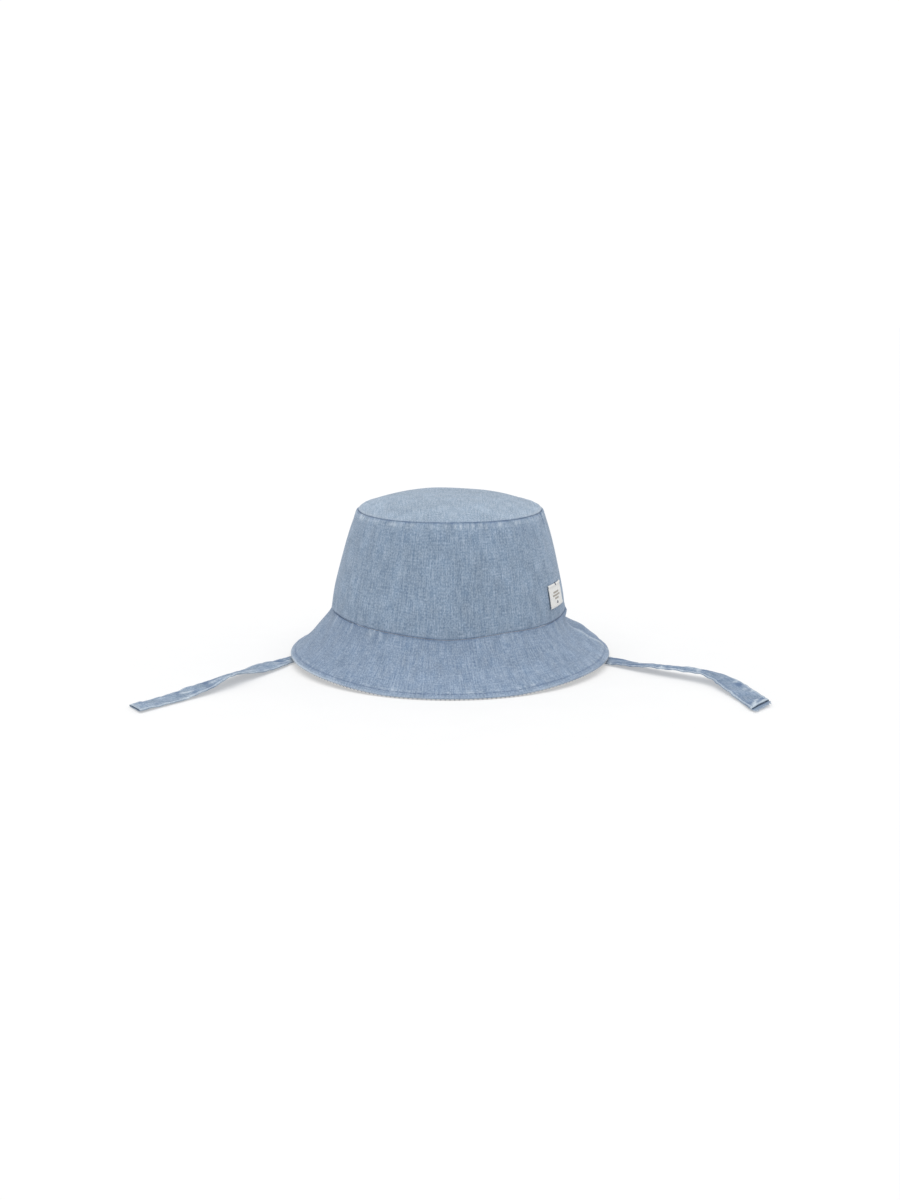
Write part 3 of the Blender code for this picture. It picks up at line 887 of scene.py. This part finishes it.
def close_ends(strip):
    """Fills the open ends of the tube, so that it is one closed skin."""
    builder = bmesh.new()
    builder.from_mesh(strip.data)
    open_edges = [edge for edge in builder.edges if edge.is_boundary]
    bmesh.ops.holes_fill(builder, edges=open_edges, sides=0)
    bmesh.ops.recalc_face_normals(builder, faces=builder.faces)
    builder.to_mesh(strip.data)
    builder.free()


def tie_stitches(rows, seed):
    """A row of stitches along the tie's sewn edge, and a short row across it near its end."""
    stitches = []
    step = 2
    for n in range(4, len(rows) - 3, step):
        start, normal = tie_surface(rows, n, TIE_SEWN_EDGE, 1, seed)
        end, _ = tie_surface(rows, n + step - 1, TIE_SEWN_EDGE, 1, seed)
        reach = 0.35 * (end - start)
        stitches.append(stitch(start - reach, end + reach, normal, THREAD_RADIUS))
    hem = len(rows) - 5
    for n in range(6):
        low = -0.84 + 0.24 * n
        start, normal = tie_surface(rows, hem, low, 1, seed)
        end, _ = tie_surface(rows, hem, low + 0.19, 1, seed)
        stitches.append(stitch(start, end, normal, THREAD_RADIUS))
    return stitches


def whipped_tack(tack):
    """The bar of thread that holds a tie: a core along Y, whipped round with closer turns of thread."""
    hold = Vector(tack)
    core = [hold + Vector((0, TACK_LENGTH * (n / 12 - 0.5), 0)) for n in range(13)]
    turns = 13
    steps = 10
    whip = []
    for n in range(turns * steps + 1):
        turn = math.tau * n / steps
        along = TACK_LENGTH * 0.94 * (n / (turns * steps) - 0.5)
        around = Vector((math.cos(turn), 0, math.sin(turn))) * 0.00045
        whip.append(hold + around + Vector((0, along, 0)))
    return [core, whip]


# Node helpers

MILLIMETRES = (1000.0, 1000.0, 1000.0)


def put(tree, kind, inputs=(), **settings):
    """Adds a node and fills its inputs with values or links."""
    made = tree.nodes.new(kind)
    for key, value in settings.items():
        setattr(made, key, value)
    for socket, value in inputs:
        if isinstance(value, bpy.types.NodeSocket):
            tree.links.new(value, made.inputs[socket])
        else:
            made.inputs[socket].default_value = value
    return made


def arithmetic(tree, operation, *values):
    return put(tree, "ShaderNodeMath", list(enumerate(values)), operation=operation).outputs[0]


def plus(tree, first, second):
    return arithmetic(tree, "ADD", first, second)


def minus(tree, first, second):
    return arithmetic(tree, "SUBTRACT", first, second)


def times(tree, first, second):
    return arithmetic(tree, "MULTIPLY", first, second)


def clamped(tree, value, low=0.0, high=1.0):
    return put(tree, "ShaderNodeClamp", [("Value", value), ("Min", low), ("Max", high)]).outputs[0]


def split(tree, vector):
    return put(tree, "ShaderNodeSeparateXYZ", [(0, vector)]).outputs


def on_vectors(tree, operation, *vectors):
    return put(tree, "ShaderNodeVectorMath", list(enumerate(vectors)), operation=operation).outputs


def stretched(tree, vector, factors):
    return on_vectors(tree, "MULTIPLY", vector, factors)[0]


def mottle(tree, vector, detail=2.0):
    inputs = [("Vector", vector), ("Scale", 1.0), ("Detail", detail)]
    return put(tree, "ShaderNodeTexNoise", inputs).outputs[0]


def between_values(tree, value, low, high, to_low=0.0, to_high=1.0, smooth=True):
    inputs = [("Value", value), ("From Min", low), ("From Max", high),
              ("To Min", to_low), ("To Max", to_high)]
    style = "SMOOTHSTEP" if smooth else "LINEAR"
    return put(tree, "ShaderNodeMapRange", inputs, interpolation_type=style).outputs[0]


def mixed(tree, share, first, second, mode="MIX"):
    inputs = [(0, share), (6, first), (7, second)]
    return put(tree, "ShaderNodeMix", inputs, data_type="RGBA", blend_type=mode).outputs[2]


def toned(tree, colour, tone):
    """A colour made lighter or darker by a value."""
    grey = put(tree, "ShaderNodeCombineXYZ", [(0, tone), (1, tone), (2, tone)]).outputs[0]
    return mixed(tree, 1.0, colour, grey, "MULTIPLY")


def new_group(name, inputs, outputs):
    tree = bpy.data.node_groups.new(name, "ShaderNodeTree")
    for label, kind in inputs:
        tree.interface.new_socket(label, in_out="INPUT", socket_type="NodeSocket" + kind)
    for label, kind in outputs:
        tree.interface.new_socket(label, in_out="OUTPUT", socket_type="NodeSocket" + kind)
    return tree, put(tree, "NodeGroupInput").outputs, put(tree, "NodeGroupOutput").inputs


def use_group(tree, group, inputs):
    return put(tree, "ShaderNodeGroup", inputs, node_tree=group).outputs


# Shader groups

def plain_weave_group():
    """Threads over and under each other. Place is in millimetres on the cloth."""
    inputs = [("Place", "Vector"), ("Pitch", "Float")]
    outputs = [("Over", "Float"), ("Height", "Float")]
    tree, given, result = new_group("Plain weave", inputs, outputs)
    parts = split(tree, given["Place"])
    waves = []
    for axis in (0, 1):
        turns = arithmetic(tree, "DIVIDE", parts[axis], given["Pitch"])
        waves.append(arithmetic(tree, "SINE", times(tree, turns, math.pi)))
    crossing = times(tree, waves[0], waves[1])
    tree.links.new(between_values(tree, crossing, -0.25, 0.25), result["Over"])
    tree.links.new(arithmetic(tree, "ABSOLUTE", crossing), result["Height"])
    return tree


def yarn_group():
    """Uneven yarn: streaks along both threads, single thicker threads, and slow drifts from washing."""
    outputs = [("Streak", "Float"), ("Cross", "Float"), ("Thread", "Float"), ("Wash", "Float")]
    tree, given, result = new_group("Uneven yarn", [("Place", "Vector")], outputs)
    sizes = {"Streak": (1.05, 0.10, 1.0), "Cross": (0.15, 1.20, 1.0),
             "Thread": (1.5, 0.80, 1.0), "Wash": (0.13, 0.09, 1.0)}
    for name, factors in sizes.items():
        drifting = mottle(tree, stretched(tree, given["Place"], factors))
        tree.links.new(minus(tree, drifting, 0.5), result[name])
    return tree


def chambray_group(weave, yarn):
    """Blue warp and pale weft, with pale worn folds, deep blue seams darkened by dye and painted shade, and
    a painted highlight on ridges with painted shade in hollows.
    """
    inputs = [("Place", "Vector"), ("Wear And Shade", "Vector"), ("Warp Colour", "Color"),
              ("Weft Colour", "Color"), ("Worn Colour", "Color"), ("Streaks", "Float")]
    outputs = [("Colour", "Color"), ("Height", "Float"), ("Roughness", "Float")]
    tree, given, result = new_group("Chambray", inputs, outputs)
    place = stretched(tree, given["Place"], MILLIMETRES)
    threads = use_group(tree, weave, [("Place", place), ("Pitch", 0.38)])
    yarns = use_group(tree, yarn, [("Place", place)])
    looks = split(tree, given["Wear And Shade"])
    blue = plus(tree, times(tree, threads["Over"], 0.5), 0.25)
    for value, weight in ((yarns["Streak"], 1.50), (yarns["Cross"], 0.95), (yarns["Thread"], 1.35)):
        blue = minus(tree, blue, times(tree, times(tree, value, weight), given["Streaks"]))
    blue = clamped(tree, blue)
    tone = plus(tree, 1.0, times(tree, yarns["Wash"], 0.40))
    # Raised cloth gets a painted highlight in its tone, and hollows get painted shade.
    ridge_shading = clamped(tree, looks[2], -1.0, 1.0)
    tone = plus(tree, tone, times(tree, ridge_shading, 0.08))
    tone = plus(tree, tone, times(tree, yarns["Thread"], 0.60))
    cloth = mixed(tree, blue, given["Weft Colour"], given["Warp Colour"])
    uneven = plus(tree, 0.75, times(tree, yarns["Thread"], 1.6))
    worn = clamped(tree, times(tree, looks[0], uneven))
    # Seams and pressed marks darken the cloth towards deep blue, and so does painted shade in seam grooves,
    # folds and creases.
    dyed_and_shaded = mixed(tree, times(tree, looks[1], 0.85), toned(tree, cloth, tone), DEEP_BLUE_DYE_AND_SHADE)
    tree.links.new(mixed(tree, worn, dyed_and_shaded, given["Worn Colour"]), result["Colour"])
    height = plus(tree, times(tree, threads["Height"], 0.6), yarns["Thread"])
    tree.links.new(height, result["Height"])
    rough = plus(tree, 0.86, times(tree, yarns["Cross"], 0.25))
    tree.links.new(rough, result["Roughness"])
    return tree


# Materials

def new_material(name, roughness=0.9, sheen=0.0, specular=0.25):
    material = bpy.data.materials.new(name)
    material.use_nodes = True
    shader = material.node_tree.nodes["Principled BSDF"]
    shader.inputs["Roughness"].default_value = roughness
    shader.inputs["Sheen Weight"].default_value = sheen
    shader.inputs["Sheen Roughness"].default_value = 0.5
    shader.inputs["Specular IOR Level"].default_value = specular
    return material, material.node_tree, shader


def read(tree, name):
    return put(tree, "ShaderNodeAttribute", attribute_name=name).outputs["Vector"]


def cloth_millimetres(tree):
    return stretched(tree, read(tree, "cloth"), MILLIMETRES)


def raise_surface(tree, shader, height, strength, distance):
    inputs = [("Height", height), ("Strength", strength), ("Distance", distance)]
    tree.links.new(put(tree, "ShaderNodeBump", inputs).outputs[0], shader.inputs["Normal"])


def chambray(name, group, warp, weft, worn, streaks=1.0):
    material, tree, shader = new_material(name, sheen=0.12, specular=0.18)
    inputs = [("Place", read(tree, "cloth")), ("Wear And Shade", read(tree, "wear_and_shade")),
              ("Warp Colour", (*warp, 1)), ("Weft Colour", (*weft, 1)), ("Worn Colour", (*worn, 1)),
              ("Streaks", streaks)]
    look = use_group(tree, group, inputs)
    tree.links.new(look["Colour"], shader.inputs["Base Color"])
    tree.links.new(look["Roughness"], shader.inputs["Roughness"])
    raise_surface(tree, shader, look["Height"], 0.35, 0.00012)
    return material


# Distance between the printed dots, in millimetres
DOT_SPACING = 1.7


def dotted_cotton(name, weave, yarn):
    """Fine off-white cotton printed all over with small grey-blue dots, in staggered rows."""
    material, tree, shader = new_material(name, sheen=0.10, specular=0.2)
    place = cloth_millimetres(tree)
    wear_and_shade = split(tree, read(tree, "wear_and_shade"))
    threads = use_group(tree, weave, [("Place", place), ("Pitch", 0.30)])
    yarns = use_group(tree, yarn, [("Place", place)])
    turned = put(tree, "ShaderNodeVectorRotate", [("Vector", place), ("Angle", math.pi / 4)],
                 rotation_type="Z_AXIS").outputs[0]
    cells = stretched(tree, turned, (1 / DOT_SPACING, 1 / DOT_SPACING, 0.0))
    inside = on_vectors(tree, "FRACTION", cells)[0]
    centred = on_vectors(tree, "SUBTRACT", inside, (0.5, 0.5, 0.0))[0]
    away = on_vectors(tree, "LENGTH", centred)["Value"]
    dots = between_values(tree, away, 0.30, 0.22)
    printed = times(tree, dots, plus(tree, 0.85, yarns["Thread"]))
    ground = mixed(tree, threads["Height"], (0.60, 0.61, 0.62, 1), (0.72, 0.72, 0.71, 1))
    cloth = mixed(tree, printed, ground, (0.17, 0.20, 0.26, 1))
    shade = minus(tree, 1.0, times(tree, wear_and_shade[1], 0.45))
    shade = plus(tree, shade, times(tree, yarns["Wash"], 0.12))
    tree.links.new(toned(tree, cloth, shade), shader.inputs["Base Color"])
    raise_surface(tree, shader, threads["Height"], 0.3, 0.0001)
    return material


def interlining_felt(name, yarn):
    """Bonded white stiffener, slightly mottled."""
    material, tree, shader = new_material(name)
    place = cloth_millimetres(tree)
    yarns = use_group(tree, yarn, [("Place", place)])
    share = plus(tree, 0.5, yarns["Thread"])
    colour = mixed(tree, share, (0.70, 0.70, 0.68, 1), (0.84, 0.84, 0.82, 1))
    tree.links.new(colour, shader.inputs["Base Color"])
    raise_surface(tree, shader, share, 0.3, 0.0001)
    return material


def sewing_thread(name, dark, light):
    """Twisted two-ply thread, dyed unevenly along its length."""
    material, tree, shader = new_material(name, roughness=0.65, sheen=0.15, specular=0.35)
    place = put(tree, "ShaderNodeTexCoord").outputs["Object"]
    plies = mottle(tree, stretched(tree, place, (5200.0, 5200.0, 5200.0)), 1.0)
    dye = mottle(tree, stretched(tree, place, (240.0, 240.0, 240.0)), 1.0)
    share = plus(tree, times(tree, plies, 0.7), times(tree, dye, 0.3))
    tree.links.new(mixed(tree, share, (*dark, 1), (*light, 1)), shader.inputs["Base Color"])
    tree.links.new(between_values(tree, plies, 0.3, 0.7, 0.75, 0.55), shader.inputs["Roughness"])
    raise_surface(tree, shader, plies, 0.5, 0.0001)
    return material


# Plain bars woven in the label: middle and half size of each, in millimetres from the label's middle
LABEL_BARS = ((0.0, 1.8, 4.2, 0.55), (0.0, 0.0, 5.6, 0.55), (0.0, -1.8, 3.0, 0.55))


def woven_label(name, weave, yarn):
    """White satin label with three plain bars woven in taupe."""
    material, tree, shader = new_material(name, sheen=0.2, specular=0.35)
    place = cloth_millimetres(tree)
    wear_and_shade = split(tree, read(tree, "wear_and_shade"))
    threads = use_group(tree, weave, [("Place", place), ("Pitch", 0.22)])
    yarns = use_group(tree, yarn, [("Place", place)])
    parts = split(tree, place)
    marks = 0.0
    for x, y, half_x, half_y in LABEL_BARS:
        across = arithmetic(tree, "ABSOLUTE", minus(tree, parts[0], x))
        above = arithmetic(tree, "ABSOLUTE", minus(tree, parts[1], y))
        inside_x = between_values(tree, across, half_x + 0.15, half_x - 0.15)
        inside_y = between_values(tree, above, half_y + 0.15, half_y - 0.15)
        marks = arithmetic(tree, "MAXIMUM", marks, times(tree, inside_x, inside_y))
    ground = mixed(tree, threads["Height"], (0.66, 0.66, 0.64, 1), (0.82, 0.82, 0.80, 1))
    figure = mixed(tree, threads["Height"], (0.27, 0.24, 0.20, 1), (0.38, 0.35, 0.30, 1))
    cloth = mixed(tree, marks, ground, figure)
    shade = minus(tree, 1.0, times(tree, wear_and_shade[1], 0.25))
    shade = plus(tree, shade, times(tree, yarns["Thread"], 0.12))
    tree.links.new(toned(tree, cloth, shade), shader.inputs["Base Color"])
    roughness = between_values(tree, threads["Height"], 0.0, 1.0, 0.72, 0.55)
    tree.links.new(roughness, shader.inputs["Roughness"])
    raise_surface(tree, shader, threads["Height"], 0.4, 0.0001)
    return material


def lit_floor():
    """Pale acrylic sheet that glows a little, with a faint mottle."""
    material, tree, shader = new_material("floor_acrylic", roughness=0.95, specular=0.1)
    place = put(tree, "ShaderNodeTexCoord").outputs["Object"]
    grain = mottle(tree, stretched(tree, place, (40.0, 40.0, 40.0)))
    colour = mixed(tree, grain, (0.482, 0.482, 0.482, 1), (0.498, 0.498, 0.498, 1))
    tree.links.new(colour, shader.inputs["Base Color"])
    shader.inputs["Emission Color"].default_value = (1, 1, 1, 1)
    shader.inputs["Emission Strength"].default_value = FLOOR_GLOW
    return material


# Building

def build_ties(group, seam_thread, pale_yarn):
    cloth = chambray("tie_chambray", group, *TIE_COLOURS, 1.6)
    sides = (
        ("left", TACK_LEFT, TIE_LEFT_ROUTE, TIE_LEFT_LENGTH, TIE_LEFT_SEED),
        ("right", TACK_RIGHT, TIE_RIGHT_ROUTE, TIE_RIGHT_LENGTH, TIE_RIGHT_SEED),
    )
    for side, tack, route, length, seed in sides:
        rows = tie_rows(tack, route)
        body = side + "_tie"
        strip = tie_piece(f"tie_{side}_cloth", rows, seed, cloth, body)
        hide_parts("tie_" + side)
        stitches = thread_piece(f"tie_{side}_stitches", tie_stitches(rows, seed), THREAD_RADIUS,
                                seam_thread, body)
        bar = thread_piece(f"tie_{side}_bar_tack", whipped_tack(tack), HEAVY_THREAD_RADIUS,
                           seam_thread)
        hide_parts("tie_tack_" + side)
        if TIE_END_STEP[seed]:
            thread_piece(f"tie_{side}_fray", frayed_ends(rows, seed),
                                        HEAVY_THREAD_RADIUS, pale_yarn, body)


def build_crown(group):
    side_cloth = chambray("crown_chambray", group, *CROWN_COLOURS)
    tip_cloth = chambray("tip_chambray", group, *TIP_COLOURS, 0.9)
    girth = spaced(HALF_CROWN_GIRTH, CROWN_STEP)
    gap = SEAM_GAP / CROWN_WALL
    wall = [gap + (1 - 2 * gap) * share for share in spaced(CROWN_WALL, CROWN_STEP)]
    for end, back in (("front", False), ("back", True)):
        side = sheet_piece(f"crown_wall_{end}", half_angles(back, girth), wall, crown_outer_point,
                           OUTER_CLOTH, side_cloth)
        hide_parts("crown_side_" + end)
    tip = sheet_piece("crown_tip_cloth", ring_angles(200), tip_rows(FINE_STEP),
                      tip_point(0.0, 0.0006, 15), OUTER_CLOTH, tip_cloth)
    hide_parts("crown_tip")


def ring_angles(count):
    return [math.tau * n / count for n in range(count + 1)]


def tip_rows(step):
    """Rows of the tip from its middle to its seam, without the crowded ones at the middle."""
    shares = [share for share in spaced(TIP_RADIUS, step) if share == 0 or share > 0.02]
    return shares[:-1] + [1 - SEAM_GAP / TIP_RADIUS]


def build_lining(cotton):
    girth = spaced(HALF_CROWN_GIRTH, LINING_STEP)
    wall = [0.012 + 0.970 * share for share in spaced(CROWN_WALL, LINING_STEP)]
    for end, back in (("front", False), ("back", True)):
        side = sheet_piece(f"lining_wall_{end}", half_angles(back, girth), wall, crown_lining_point,
                           LINING_CLOTH, cotton)
        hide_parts("lining_side_" + end)
    rows = [0.975 * share for share in tip_rows(LINING_STEP)]
    tip = sheet_piece("lining_tip_cloth", ring_angles(100), rows,
                      tip_point(CROWN_LINING_DEPTH, 0.0007, 17), LINING_CLOTH, cotton)
    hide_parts("lining_tip")


def build_brim(group, cotton, felt):
    cloth = chambray("brim_chambray", group, *BRIM_COLOURS)
    girth = spaced(HALF_BRIM_GIRTH, BRIM_STEP)
    over = [SEAM_GAP / BRIM_SLANT] + spaced(BRIM_SLANT, FINE_STEP)[1:]
    roll = [1 + (EDGE_SEAM - 1) * n / 6 for n in range(1, 6)]
    roll += [EDGE_SEAM - UPPER_TURN_IN, EDGE_SEAM, EDGE_SEAM + UPPER_TURN_IN]
    under_girth = spaced(HALF_BRIM_GIRTH, LINING_STEP)
    under = [3 + share for share in spaced(BRIM_SLANT, 0.0022)]
    under_roll = [EDGE_SEAM + step for step in (-0.10, -0.03, 0.04, 0.16, 0.32, 0.50, 0.70, 0.90, 1.05)]
    felt_girth = spaced(HALF_BRIM_GIRTH, 0.005, 0.002)
    felt_rows = [0.02 + 0.92 * share for share in spaced(BRIM_SLANT, 0.004, 0.002)]
    for end, back in (("front", False), ("back", True)):
        upper = sheet_piece(f"brim_top_{end}", half_angles(back, girth), over + roll, brim_upper_point,
                            OUTER_CLOTH, cloth)
        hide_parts("brim_upper_" + end)
        lower = sheet_piece(f"brim_underside_{end}", half_angles(back, under_girth), under_roll + under,
                            brim_under_point, OUTER_CLOTH * 0.7, cotton)
        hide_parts("brim_under_" + end)
        middle = sheet_piece(f"brim_stiffener_{end}", half_angles(back, felt_girth), felt_rows,
                             interlining_point, INTERLINING_CLOTH, felt)
        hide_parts("brim_interlining_" + end)


def build_threads(blue_thread, seam_thread):
    station = 1 - STITCH_INSET / BRIM_SLANT
    upper, lower = (
        stitch_row(line, EDGE_STITCHES, EDGE_STITCH_SHARE, THREAD_RADIUS)
        for line in (brim_line(brim_upper_point, station), brim_line(brim_under_point, 4 - station)))
    top = thread_piece("brim_edge_stitches", upper, THREAD_RADIUS, blue_thread)
    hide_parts("brim_edge_topstitch")
    thread_piece("brim_underside_stitches", lower, THREAD_RADIUS, seam_thread)
    seams = ("tip_seam_thread", "base_seam_thread", "side_seam_thread_left", "side_seam_thread_right")
    for name in seams:
        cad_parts[name].material_slots[0].material = seam_thread


def label_point(turn, rise):
    """A point of the label: turn and rise run from -1 to 1. Its -X edge stands away from the crown."""
    girth = crown_side_face(LABEL_ANGLE, LABEL_MIDDLE).xy.length
    angle = LABEL_ANGLE + turn * LABEL_WIDTH / 2 / girth
    across = LABEL_MIDDLE + rise * LABEL_HEIGHT / 2 / CROWN_WALL
    normal = outward(crown_side_face, angle, across)
    standoff = LABEL_STANDOFF + crown_relief(angle, across * CROWN_WALL) * 0.5
    standoff += 0.0005 * ramp(-turn, 0.45, 1.0) * (1 - 0.35 * rise * rise)
    standoff += 0.00025 * ramp(abs(rise), 0.72, 0.80) * (1 - ramp(abs(rise), 0.93, 1.0))
    standoff += 0.00012 * drift(turn, rise, 0.7, 0.9, 19)
    place = crown_side_face(angle, across) + standoff * normal
    # Painted shade along the step where each folded end of the label begins.
    seam = 0.6 * ridge_at(abs(rise) - 0.76, 0.03)
    return place, normal, (turn * LABEL_WIDTH / 2, rise * LABEL_HEIGHT / 2, 6.0), (0.0, seam, 0.0)


def label_stitch_lines(rise):
    """Two short threads side by side over the label's edge."""
    lines = []
    for turn in (-0.03, 0.03):
        low, normal, _, _ = label_point(turn, rise - 0.11)
        high, _, _, _ = label_point(turn + 0.02, rise + 0.11)
        lines.append(stitch(low, high, normal, HEAVY_THREAD_RADIUS))
    return lines


def build_label(weave, yarn, dark_thread):
    shares = [-1 + n / 14 for n in range(29)]
    label = sheet_piece("woven_label", shares, shares, label_point, LABEL_CLOTH,
                        woven_label("label_weave", weave, yarn))
    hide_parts("label")
    for place, rise in (("top", 0.93), ("bottom", -0.62)):
        loops = thread_piece(f"label_stitches_{place}", label_stitch_lines(rise), HEAVY_THREAD_RADIUS,
                             dark_thread)
        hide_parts("label_stitch_" + place)


def build_stage():
    builder = bmesh.new()
    bmesh.ops.create_grid(builder, x_segments=2, y_segments=2, size=FLOOR_SIZE)
    mesh = bpy.data.meshes.new("floor")
    builder.to_mesh(mesh)
    builder.free()
    mesh.materials.append(lit_floor())
    add_object("floor", mesh)


def soft_sun(name, place, strength):
    """An even light from a wide patch overhead, the same all over the floor."""
    data = bpy.data.lights.new(name, "SUN")
    data.angle = OVERHEAD_SPREAD
    data.energy = strength
    lamp = add_object(name, data)
    lamp.location = place
    lamp.rotation_euler = (-Vector(place)).to_track_quat("-Z", "Y").to_euler()


def set_lights():
    world = bpy.data.worlds.new("studio")
    world.use_nodes = True
    tree = world.node_tree
    background = tree.nodes["Background"]
    background.inputs["Color"].default_value = (1, 1, 1, 1)
    seen = put(tree, "ShaderNodeLightPath").outputs["Is Camera Ray"]
    strength = between_values(tree, seen, 0.0, 1.0, STUDIO_FILL, BACKDROP_STRENGTH, smooth=False)
    tree.links.new(strength, background.inputs["Strength"])
    bpy.context.scene.world = world
    soft_sun("overhead_softbox", OVERHEAD_PLACE, OVERHEAD_STRENGTH)
    bpy.context.scene.view_settings.view_transform = "Standard"


def main():
    set_camera()
    weave = plain_weave_group()
    yarn = yarn_group()
    group = chambray_group(weave, yarn)
    cotton = dotted_cotton("dotted_cotton", weave, yarn)
    felt = interlining_felt("interlining", yarn)
    blue_thread = sewing_thread("blue_thread", *BLUE_THREAD)
    seam_thread = sewing_thread("seam_thread", *SEAM_THREAD)
    dark_thread = sewing_thread("label_thread", *DARK_THREAD)
    pale_yarn = sewing_thread("pale_yarn", *PALE_YARN)
    build_ties(group, seam_thread, pale_yarn)
    build_crown(group)
    build_lining(cotton)
    build_brim(group, cotton, felt)
    build_threads(blue_thread, seam_thread)
    build_label(weave, yarn, dark_thread)
    build_stage()
    set_lights()


main()
